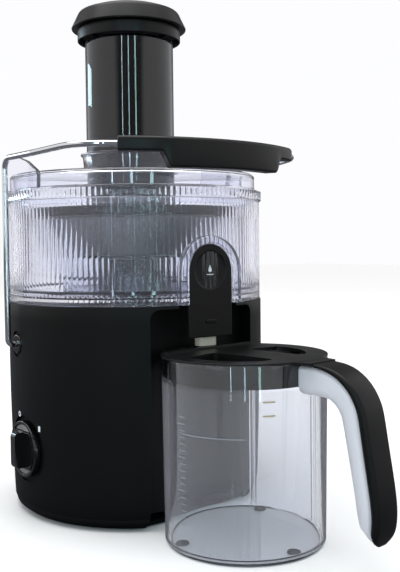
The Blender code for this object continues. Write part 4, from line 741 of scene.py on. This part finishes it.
# Stainless sheet etched with close rows of holes: a grey that is darker where the holes show.
# The holes are about 0.4 mm and drawn at 1.5 mm pitch, as fine as can be seen.
HOLE_PITCH_MM = 1.5
sieve_steel, tree, shader = new_material("etched_stainless_sieve")
coords = add_node(tree, "ShaderNodeTexCoord")
holes = add_node(tree, "ShaderNodeTexVoronoi",
                 {"Vector": coords.outputs["Object"], "Scale": 1000 / HOLE_PITCH_MM})
between_holes = ranged(tree, holes.outputs["Distance"], 0.0, 1.0, 0.25, 0.40)
feed(tree, shader, {"Base Color": blend(tree, between_holes, linear("17171a"), linear("7d7a78")),
                    "Roughness": ranged(tree, noise(tree, 60.0, 4.0), 0.30, 0.55),
                    "Metallic": between_holes})
mesh_wall = turned("sieve", rounded([
    (0.0890, 0.2549, 0.0002), (0.0530, 0.2203, 0.0002), (0.0514, 0.2203, 0.0002), (0.0874, 0.2549, 0.0002)]))
fit(smooth(mesh_wall), sieve_steel, "basket", "sieve_steel", "sieve_mesh")
grater = turned("grater", np.array([(0, 0.2238), (0.0095, 0.2234), (0.0118, 0.2218), (0.0500, 0.2216),
                                    (0.0506, 0.2212), (0.0506, 0.2203), (0, 0.2203)]), closed=False)
fit(smooth(grater), sieve_steel, "basket", "sieve_steel", "grating_disc")
hub_profile = np.concatenate([[(0, 0.2200)], rounded([
    (0.0530, 0.2200, 0.0006), (0.0530, 0.2175, 0.0006), (0.0370, 0.2160, 0.002), (0.0370, 0.1900, 0.0006),
    (0.0345, 0.1900, 0.0006), (0.0345, 0.2160, 0.001), (0.0160, 0.2160, 0.001), (0.0160, 0.1880, 0.0006),
    (0.0125, 0.1880, 0.0004), (0.0125, 0.2150, 0), (0, 0.2150, 0), (0, 0.22, 0)])[:-1]])
fit(smooth(turned("hub", hub_profile, closed=False)), satin_black, "basket", "satin_black", "basket_hub")

# ---- Drip stop and pour nozzle ----
# A black slide on the bowl's front: pushed down, it stops the spout from dripping. It has a round
# dish for the thumb, a drop over a line, and a small pull. The pale nozzle hangs below the bowl.

SLIDE_FACE_Y = -0.1142
SLIDE_BACK_Y = -0.1115
SLIDE_HALF = 0.0220
SLIDE_FOOT = 0.1545
SLIDE_TOP = 0.2305
DISH_Z = 0.2092
DISH_DEPTH = 0.0009
ICON_Y = SLIDE_FACE_Y + DISH_DEPTH
slide = pushed("slide", upright(SLIDE_HALF, SLIDE_FOOT, SLIDE_TOP, SLIDE_HALF - 0.0001, 0.0012),
               SLIDE_FACE_Y, SLIDE_BACK_Y, "y")
dish_line = np.array([(0, 0.0030), (0.0163, 0.0030), (0.0163, DISH_DEPTH), (0.0157, 0.0005), (0.0149, 0.0002),
                      (0.0138, 0.0001), (0.0110, 0.00005), (0.0060, 0), (0, 0)])
bowl_of_dish = turned("dish", dish_line, sides=96, closed=False)
laid(bowl_of_dish, Matrix.Translation((0, ICON_Y, DISH_Z)) @ Matrix.Rotation(math.pi / 2, 4, "X"))
joined(slide, bowl_of_dish)
soft_edges(smooth(slide, 25), 0.0007, 3, 40)
fit(slide, satin_black, "drip_gate", "satin_black", "drip_stop")

# White pad print on black: a drop whose point is up, over a short line
drop_t = np.linspace(0, 2 * math.pi, 40, endpoint=False)
drop = np.stack([0.0013 * np.sin(drop_t) * (1 - np.cos(drop_t)), DISH_Z + 0.0013 + 0.0030 * np.cos(drop_t)],
                axis=-1)
drop_print = pushed("drop_print", drop, ICON_Y - 0.00015, ICON_Y + 0.0002, "y")
line_print = pushed("line_print", block(0.0034, DISH_Z - 0.0040, DISH_Z - 0.0034, 0.0002),
                    ICON_Y - 0.00015, ICON_Y + 0.0002, "y")
for piece in (drop_print, line_print):
    fit(piece, white_ink, "drip_gate", "nozzle_grey")
pull = pushed("slide_pull", block(0.0052, 0.1660, 0.1692, 0.0014), SLIDE_FACE_Y - 0.0011,
              SLIDE_FACE_Y + 0.0004, "y")
soft_edges(smooth(pull), 0.0007, 3)
fit(pull, satin_black, "drip_gate", "satin_black")

NOZZLE_BACK = -0.1014
NOZZLE_FRONT = -0.1112
NOZZLE_HALF = 0.00875
NOZZLE_TOP = 0.1810
NOZZLE_FOOT = 0.1470
nozzle_rings = []
for level, wall in ((NOZZLE_TOP, 0), (NOZZLE_FOOT + 0.0004, 0), (NOZZLE_FOOT, 0.0003), (NOZZLE_FOOT, 0.0013),
                    (NOZZLE_FOOT + 0.0004, 0.0016), (NOZZLE_TOP, 0.0016)):
    half, front, back, corner = NOZZLE_HALF - wall, NOZZLE_FRONT + wall, NOZZLE_BACK - wall, 0.0030 - wall
    outline = rounded([(-half, front, corner), (half, front, corner), (half, back, corner),
                       (-half, back, corner)], 6)
    nozzle_rings.append(np.column_stack([outline, np.full(len(outline), level)]))
nozzle_rings = np.array(nozzle_rings)
nozzle = put_mesh("nozzle", nozzle_rings.reshape(-1, 3),
                  grid_faces(*nozzle_rings.shape[:2], True, True).tolist())
# Natural polypropylene: a warm pale grey, slightly waxy
nozzle_plastic = moulded_plastic("natural_polypropylene", "c9c4b4", 0.42, 0.4, 0.5, 0.00002)
fit(smooth(nozzle), nozzle_plastic, "bowl", "nozzle_grey", "pour_nozzle")

# ---- Lid ----
# A clear lid with a ribbed skirt over the bowl's rim, a plain upper step, two upright ears beside
# the bail's rods, and a flanged neck that holds the feed chute.

LID_SKIRT = 0.1154
LID_FOOT = 0.2685
LID_LEDGE = 0.2772
LID_STEP = 0.1095
NECK_RADIUS = 0.0404
CHUTE_Y = 0.0055
EAR_OUT_X = 0.1096
EAR_IN_X = 0.1062
lid_heights = np.array([LID_LEDGE - 0.0008, LID_LEDGE - 0.0014, 0.2740, 0.2710, LID_FOOT + 0.0012,
                        LID_FOOT + 0.0004])
lid_side = np.stack([np.full(6, LID_SKIRT), lid_heights], axis=-1)
lid_upper = rounded([
    (NECK_RADIUS, 0.2966, 0), (0.0480, 0.2965, 0.01), (0.1075, 0.2920, 0.0020), (LID_STEP, 0.2900, 0.0010),
    (LID_STEP, 0.2784, 0.0010), (LID_SKIRT, LID_LEDGE, 0.0008)], 5)[:-6]
lid_under = rounded([
    (LID_SKIRT - 0.0003, LID_FOOT, 0), (0.1107, LID_FOOT, 0.0003), (0.1107, 0.2640, 0.0004),
    (0.1086, 0.2640, 0.0004), (0.1073, 0.2786, 0.001), (0.1073, 0.2880, 0.002), (0.1060, 0.2898, 0.003),
    (0.0480, 0.2943, 0.005), (NECK_RADIUS, 0.2943, 0)], 4)
lid = turned("lid_shell", np.concatenate([lid_upper, lid_side, lid_under]), sides=RIB_COUNT * 8,
             ripple=ribs(((LID_FOOT + 0.0004, LID_LEDGE - 0.0008),), LID_SKIRT - 0.0002))
fit(smooth(lid, 40), clear_san, "lid", "clear_plastic", "lid")

neck = turned("lid_neck", rounded([
    (0.0403, 0.3130, 0.0004), (0.0455, 0.3130, 0.0006), (0.0455, 0.3112, 0.0005), (0.0438, 0.3104, 0.0008),
    (0.0424, 0.2966, 0.0015), (0.0403, 0.2955, 0.0003)]), (0, CHUTE_Y))
fit(smooth(neck), clear_san, "lid", "clear_plastic")
for side_sign, name in ((-1, "left"), (1, "right")):
    ear_outline = rounded([
        (0.0410, 0.2775, 0), (0.0405, 0.3010, 0.004), (0.0350, 0.3075, 0.007), (0.0150, 0.3068, 0.012),
        (-0.0060, 0.3010, 0.02), (-0.0230, 0.2925, 0.004), (-0.0255, 0.2890, 0), (-0.0250, 0.2775, 0)], 5)
    ear = pushed(f"ear_{name}", ear_outline, *sorted((side_sign * EAR_OUT_X, side_sign * EAR_IN_X)), "x")
    soft_edges(smooth(ear, 25), 0.0007, 3, 40)
    fit(ear, clear_san, "lid", "clear_plastic")

# ---- Feed chute ----
# A straight tube of smoked plastic, wide enough for a whole apple, fixed in the lid's neck.

CHUTE_RADIUS = 0.0400
CHUTE_BORE = 0.0378
CHUTE_TOP = 0.4140
CHUTE_FOOT = 0.2665
# Smoked SAN: clear enough to show the pusher's edge, dark enough to look black over it
smoked = clear_plastic("smoked_san_plastic", "4a5055", 0.02, 0.01, 1.57, "202225")
chute = turned("chute", rounded([
    (CHUTE_RADIUS, CHUTE_TOP, 0.0006), (CHUTE_RADIUS, CHUTE_FOOT, 0.0006), (CHUTE_BORE, CHUTE_FOOT, 0.0006),
    (CHUTE_BORE, CHUTE_TOP, 0.0006)]), (0, CHUTE_Y))
fit(smooth(chute), smoked, "lid", "smoked_plastic", "feed_chute")

# ---- Pusher ----
# A hollow black plunger that fills the chute, with a collar and a wide domed cap to press on.

PUSHER_RADIUS = 0.0368
PUSHER_BORE = 0.0345
COLLAR_RADIUS = 0.0466
COLLAR_TOP = 0.4247
CAP_TOP = 0.4441
CAP_FOOT = 0.4250
# Polished black ABS: it gives the smoked tube its depth
pusher_gloss = polished_plastic("gloss_black_pusher", "0b0c0d", 0.12, 0.3)
plunger = turned("plunger", np.concatenate([[(0, 0.2693)], rounded([
    (PUSHER_BORE, 0.2693, 0.002), (PUSHER_BORE, CHUTE_TOP, 0.0004), (PUSHER_RADIUS, CHUTE_TOP, 0.0004),
    (PUSHER_RADIUS, 0.2670, 0.002), (0, 0.2670, 0)])]), (0, CHUTE_Y), closed=False)
fit(smooth(plunger), pusher_gloss, "pusher", "satin_black", "pusher_tube")
collar = turned("collar", rounded([
    (COLLAR_RADIUS, COLLAR_TOP, 0.0008), (COLLAR_RADIUS, 0.4143, 0.0004), (0.0456, 0.4143, 0.0004),
    (0.0440, 0.4222, 0.0030), (0.0372, 0.4225, 0), (0.0340, 0.4225, 0), (0.0340, COLLAR_TOP, 0.0004)]),
    (0, CHUTE_Y))
fit(smooth(collar), satin_black, "pusher", "satin_black", "pusher_collar")
cap_line = rounded([
    (0.0, CAP_TOP, 0), (0.0330, CAP_TOP, 0.02), (0.0452, 0.4398, 0.006), (0.0488, 0.4322, 0.0012),
    (0.0519, 0.4260, 0.0008), (0.0516, CAP_FOOT, 0.0004), (0.0, CAP_FOOT, 0)], 6)
cap = turned("cap", cap_line, (0, CHUTE_Y), closed=False)
fit(smooth(cap, 50), satin_black, "pusher", "satin_black", "pusher_cap")

# ---- Jug ----
# A clear moulded jug with a thick floor on three small feet, two rails for the foam separator,
# and a frosted handle core. It stands turned a little from the front.

JUG_PLACE = Matrix.Translation((0, -0.1560, 0)) @ Matrix.Rotation(math.radians(8.5), 4, "Z")
JUG_FLOOR = 0.0020
JUG_RIM = 0.1440
JUG_RIM_RADIUS = 0.0645
JUG_FOOT_RADIUS = 0.0629
BOSS_PLACE = 0.0530
RAIL_PLACE = 0.0597
SEPARATOR_X = (0.0455, 0.0473)
# Clear SAN at the jug's thickness: nearly colourless, with a light haze that greys what is behind
jug_clear = clear_plastic("clear_san_jug", "f6f7fa", 0.015, 0.06, 1.46, haze_top=0.1255)
jug_profile = np.concatenate([[(0, JUG_FLOOR)], rounded([
    (0.0603, JUG_FLOOR, 0.0030), (0.0620, JUG_RIM, 0.0008), (JUG_RIM_RADIUS, JUG_RIM, 0.0008),
    (JUG_FOOT_RADIUS, 0.0010, 0.0030), (0.0600, FLOOR_Z, 0.0010), (0, FLOOR_Z, 0)])])
jug = turned("jug", jug_profile, closed=False)
fit(smooth(laid(jug, JUG_PLACE)), jug_clear, "jug", "clear_plastic", "jug_body")
# A dark ring in the jug's foot, in the same painted edge shade
jug_foot_edge = turned("jug_foot_edge", rounded([
    (0.0613, 0.0010, 0.0003), (0.0613, 0.0002, 0.0003), (0.0585, 0.0002, 0.0003), (0.0585, 0.0010, 0.0003)]))
fit(smooth(laid(jug_foot_edge, JUG_PLACE)), painted_edge_shade, "jug", "clear_plastic")

# Three bosses stand on the floor, dark in the painted edge shade
for number, degrees in enumerate((158, 264, 28)):
    angle = math.radians(degrees)
    boss = turned(f"floor_boss_{number + 1}", np.concatenate([[(0, 0.0026)], rounded([
        (0.0030, 0.0026, 0.0002), (0.0036, 0.0032, 0.0003), (0.0048, 0.0032, 0.0004), (0.0052, 0.0019, 0),
        (0, 0.0019, 0)])]), (BOSS_PLACE * math.cos(angle), BOSS_PLACE * math.sin(angle)), 48, False)
    fit(smooth(laid(boss, JUG_PLACE)), painted_edge_shade, "jug", "clear_plastic")
# Two pairs of rails on the wall guide the foam separator, a plate that drops in behind them
for number, turn_sign in enumerate((1, -1)):
    for k, step in enumerate((-0.0022, 0.0022)):
        angle = math.radians(35 * turn_sign) + step / 0.060
        rail = turned(f"rail_{number + 1}_{k + 1}", rounded([
            (0.0001, 0.0030, 0), (0.0010, 0.0030, 0.0003), (0.0010, 0.1250, 0.0003), (0.0001, 0.1250, 0)]),
            (RAIL_PLACE * math.cos(angle), RAIL_PLACE * math.sin(angle)), 24)
        fit(smooth(laid(rail, JUG_PLACE)), jug_clear, "jug", "clear_plastic")
separator = pushed("separator", np.array([
    (-0.0325, 0.0065), (0.0325, 0.0065), (0.0325, 0.1257), (-0.0325, 0.1257)]), *SEPARATOR_X, "x")
soft_edges(separator, 0.0005, 2)
fit(laid(separator, JUG_PLACE), jug_clear, "jug", "clear_plastic", "foam_separator")

# Scale marks, printed in pale grey on the left of the wall: the longer ones every fifth
pale_ink = moulded_plastic("pale_scale_print", "8f959e", 0.5, 0.3, 0.3, 0.00001)


def scale_mark(name, z, start, end, thick=0.0005, finish=None):
    """A printed line on the wall at a height, between two angles in degrees."""
    radius = JUG_FOOT_RADIUS + (JUG_RIM_RADIUS - JUG_FOOT_RADIUS) * z / JUG_RIM
    angles = np.radians(np.linspace(start, end, 3 + int(abs(end - start) / 3)))
    rows = [np.stack([(radius + lift) * np.cos(angles), (radius + lift) * np.sin(angles),
                      np.full(len(angles), z + dz)], axis=-1)
            for lift, dz in ((0.00012, -thick / 2), (0.00012, thick / 2), (-0.0003, thick / 2),
                             (-0.0003, -thick / 2))]
    fit(laid(carried(name, np.stack(rows, axis=1)), JUG_PLACE), finish or pale_ink, "jug", "nozzle_grey")


for i in range(17):
    scale_mark(f"scale_mark_{i + 1}", 0.0240 + 0.0050 * i, 179 - (5 if i % 5 else 8), 179)
scale_mark("fill_line", 0.0915, 176, 222)
# Two short bars in warm grey print
tan_ink = moulded_plastic("tan_pad_print", "a89d84", 0.5, 0.3, 0.3, 0.00001)
for number, z in enumerate((0.1180, 0.1080)):
    scale_mark(f"wall_bar_{number + 1}", z, 234, 242, 0.0012, tan_ink)

# ---- Jug handle ----
# The frosted core is moulded with the jug, and the black grip is pressed over its back.

HANDLE_LINE = np.array([
    (0.0770, 0.1449, 0.0024, 0.0215), (0.0870, 0.1438, 0.0034, 0.0205), (0.0963, 0.1412, 0.0045, 0.0195),
    (0.1045, 0.1365, 0.0055, 0.0188), (0.1114, 0.1300, 0.0062, 0.0180), (0.1165, 0.1222, 0.0067, 0.0174),
    (0.1200, 0.1130, 0.0070, 0.0168), (0.1243, 0.0904, 0.0073, 0.0158), (0.1296, 0.0607, 0.0075, 0.0148),
    (0.1309, 0.0445, 0.0068, 0.0143), (0.1295, 0.0320, 0.0060, 0.0110), (0.1262, 0.0235, 0.0040, 0.0050)])


def smooth_line(points, steps):
    """Points along a Catmull-Rom curve: the cubic through each pair whose slopes come from their
    neighbours."""
    ends = np.concatenate([[2 * points[0] - points[1]], points, [2 * points[-1] - points[-2]]])
    a, b, c, d = (ends[i:len(ends) - 3 + i, None] for i in range(4))
    t = np.linspace(0, 1, steps, endpoint=False)[None, :, None]
    curve = 0.5 * (2 * b + (c - a) * t + (2 * a - 5 * b + 4 * c - d) * t ** 2
                   + (3 * b - a - 3 * c + d) * t ** 3)
    return np.concatenate([curve.reshape(-1, points.shape[1]), points[-1:]])


def handle_bar(name, line, near, far, width, end_length, far_corner=0.0035):
    """A bar between two depths behind the handle's outer line. Each ring is square to the line; the
    width falls off as a half circle over the last stretch, so the end is round."""
    along = np.gradient(line[:, :2], axis=0)
    along /= np.linalg.norm(along, axis=1)[:, None]
    inward = np.stack([along[:, 1], -along[:, 0]], axis=-1)
    steps = np.linalg.norm(np.diff(line[:, :2], axis=0), axis=1)
    to_end = np.concatenate([np.cumsum(steps[::-1])[::-1], [0.0]])
    keep = np.sqrt(1 - np.clip(1 - (to_end + 0.0012) / end_length, 0, 1) ** 2)
    rings = []
    for point, depth_way, low, high, share in zip(line, inward, near, far, keep):
        half, thick = width / 2 * share, high - low
        edge = min(0.0035, thick * 0.45, half * 0.8)
        far_edge = min(far_corner, thick * 0.5, half * 0.8)
        outline = rounded([(-half, low, edge), (half, low, edge), (half, high, far_edge),
                           (-half, high, far_edge)])
        spot = point[:2] + depth_way * outline[:, 1:]
        rings.append(np.stack([outline[:, 0], -spot[:, 0], spot[:, 1]], axis=-1))
    return carried(name, np.array(rings))


line = smooth_line(HANDLE_LINE, 6)
grip = handle_bar("grip", line, np.zeros(len(line)), line[:, 2], 0.0260, 0.013)
soft_black = moulded_plastic("black_soft_touch_grip", "0a0a0b", 0.40, 0.20, 0.30, 0.00003)
fit(smooth(laid(grip, JUG_PLACE), 60), soft_black, "jug", "satin_black", "jug_grip")
# The core runs on towards the jug past the grip's end, at the same depths
root = np.array([(x, *HANDLE_LINE[0][1:]) for x in (0.0620, 0.0660, 0.0710)])
core_line = np.concatenate([root, line])
core_near = core_line[:, 2] + 0.0003
handle_core = handle_bar("handle_core", core_line, core_near, core_near + core_line[:, 3], 0.0220, 0.012,
                         0.0090)
# Frosted SAN: the same clear plastic with a spark-eroded face, milky white with soft grey edges
frosted = moulded_plastic("frosted_san_core", "e4e6ee", 0.34, 0.5, 0.25, 0.00002)
frosted.node_tree.nodes["Principled BSDF"].inputs["Transmission Weight"].default_value = 0.35
fit(smooth(laid(handle_core, JUG_PLACE), 60), frosted, "jug", "clear_plastic")

# ---- Jug lid ----
# A black lid that drops into the jug. Its upper face has an inlet under the spout, a pouring slot
# on the right, a matching finger dip on the left, and a tab that meets the grip.

LID_TOP = 0.1457
LID_FLANGE = 0.0648
jug_lid = turned("jug_lid_plate", np.concatenate([[(0, LID_TOP)], rounded([
    (LID_FLANGE, LID_TOP, 0.0006), (LID_FLANGE, 0.1443, 0.0003), (0.0600, 0.1443, 0),
    (0.0600, 0.1260, 0.0006), (0.0582, 0.1260, 0.0006), (0.0582, 0.1428, 0.001), (0, 0.1428, 0)])]),
    closed=False)


def half_segment(side_sign, radius, chord, low, high, corner=0.0045):
    """A D-shaped outline in one half of the lid: an arc about the middle, and a chord."""
    start, end = math.asin(low / radius), math.asin(high / radius)
    a = np.linspace(start + 0.10, end - 0.10, 14)
    bend = [(radius * math.cos(x), radius * math.sin(x), 0) for x in a]
    corners = [(chord, low + 0.002, corner)] + bend + [(chord, high, corner)]
    outline = rounded(corners, 5)
    return outline * np.array([side_sign, 1.0])


INLET_RADIUS = 0.0574
INLET_CHORD = 0.0410
inlet_angle = math.acos(INLET_CHORD / INLET_RADIUS)
a = np.linspace(math.pi / 2 - inlet_angle, math.pi / 2 + inlet_angle, 30)
tab = pushed("tab", rounded([
    (-0.0150, -0.0765, 0.001), (0.0150, -0.0765, 0.001), (0.0190, -0.0600, 0.008), (0.0180, -0.0520, 0),
    (-0.0180, -0.0520, 0), (-0.0190, -0.0600, 0.008)], 6), 0.1437, LID_TOP - 0.0001)
joined(jug_lid, tab, "UNION")
joined(jug_lid, pushed("inlet", INLET_RADIUS * np.stack([np.cos(a), np.sin(a)], axis=-1), 0.14, 0.16))
joined(jug_lid, pushed("pour", half_segment(1, 0.0480, 0.0185, -0.0424, 0.0116), 0.14, 0.16))
dip_wall = pushed("dip_wall", half_segment(-1, 0.0515, 0.0135, -0.0465, 0.0180), 0.1365, 0.1435)
joined(jug_lid, dip_wall, "UNION")
joined(jug_lid, pushed("dip", half_segment(-1, 0.0505, 0.0145, -0.0455, 0.0170), 0.1375, 0.16))
ridge = pushed("ridge", rounded([
    (-0.0500, 0.0375, 0.0008), (0.0500, 0.0375, 0.0008), (0.0482, 0.0404, 0.0008),
    (-0.0482, 0.0404, 0.0008)]), 0.1450, 0.1473)
joined(jug_lid, ridge, "UNION")
laid(jug_lid, JUG_PLACE)
soft_edges(smooth(jug_lid, 30), 0.0004, 2, 50)
lid_black = moulded_plastic("black_pp_lid", "0a0b0b", 0.32, 0.26, 0.30, 0.00003)
fit(jug_lid, lid_black, "jug", "satin_black", "jug_lid")

# ---- Feet, gland and inside pieces ----
# What is left keeps its CAD shape: rubber feet and gland, steel and nylon motor parts.

# Nitrile rubber, dull and faintly rough; natural nylon, a waxy off-white; solder resist, a green lacquer
rubber = moulded_plastic("black_nbr_rubber", "18181a", 0.8, 0.15, 0.6, 0.0001)
nylon = moulded_plastic("natural_nylon", "d8d5cb", 0.5, 0.4, 0.5, 0.00003)
board = moulded_plastic("green_solder_resist", "1d5a36", 0.4, 0.4, 0.8, 0.00005)
# Bright rolled steel: grey metal with faint rolling lines
steel, tree, shader = new_material("rolled_steel")
coords = add_node(tree, "ShaderNodeTexCoord")
drawn_out = add_node(tree, "ShaderNodeMapping", {"Vector": coords.outputs["Object"],
                                                 "Scale": (400.0, 400.0, 4000.0)})
grain = add_node(tree, "ShaderNodeTexNoise",
                 {"Vector": drawn_out.outputs["Vector"], "Scale": 1.0, "Detail": 3.0})
feed(tree, shader, {"Roughness": ranged(tree, grain.outputs["Fac"], 0.25, 0.5),
                    "Base Color": linear("b8b8ba"), "Metallic": 1.0})
for finish, nodes in (
        (rubber, ("rubber_foot_1", "rubber_foot_2", "rubber_foot_3", "rubber_foot_4", "cord_inlet",
                  "motor_damper_1", "motor_damper_2", "motor_damper_3", "shaft_seal")),
        (nylon, ("cooling_fan", "drive_coupling", "rotary_switch")),
        (board, ("control_board",)),
        (knob_plastic, ("interlock_switch",)),
        (steel, ("cover_screw_1", "cover_screw_2", "cover_screw_3", "cover_screw_4", "motor_stator",
                 "motor_rotor", "lower_bearing", "upper_bearing", "lower_motor_bracket",
                 "upper_motor_bracket"))):
    for node in nodes:
        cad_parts[node].data.materials.clear()
        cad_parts[node].data.materials.append(finish)
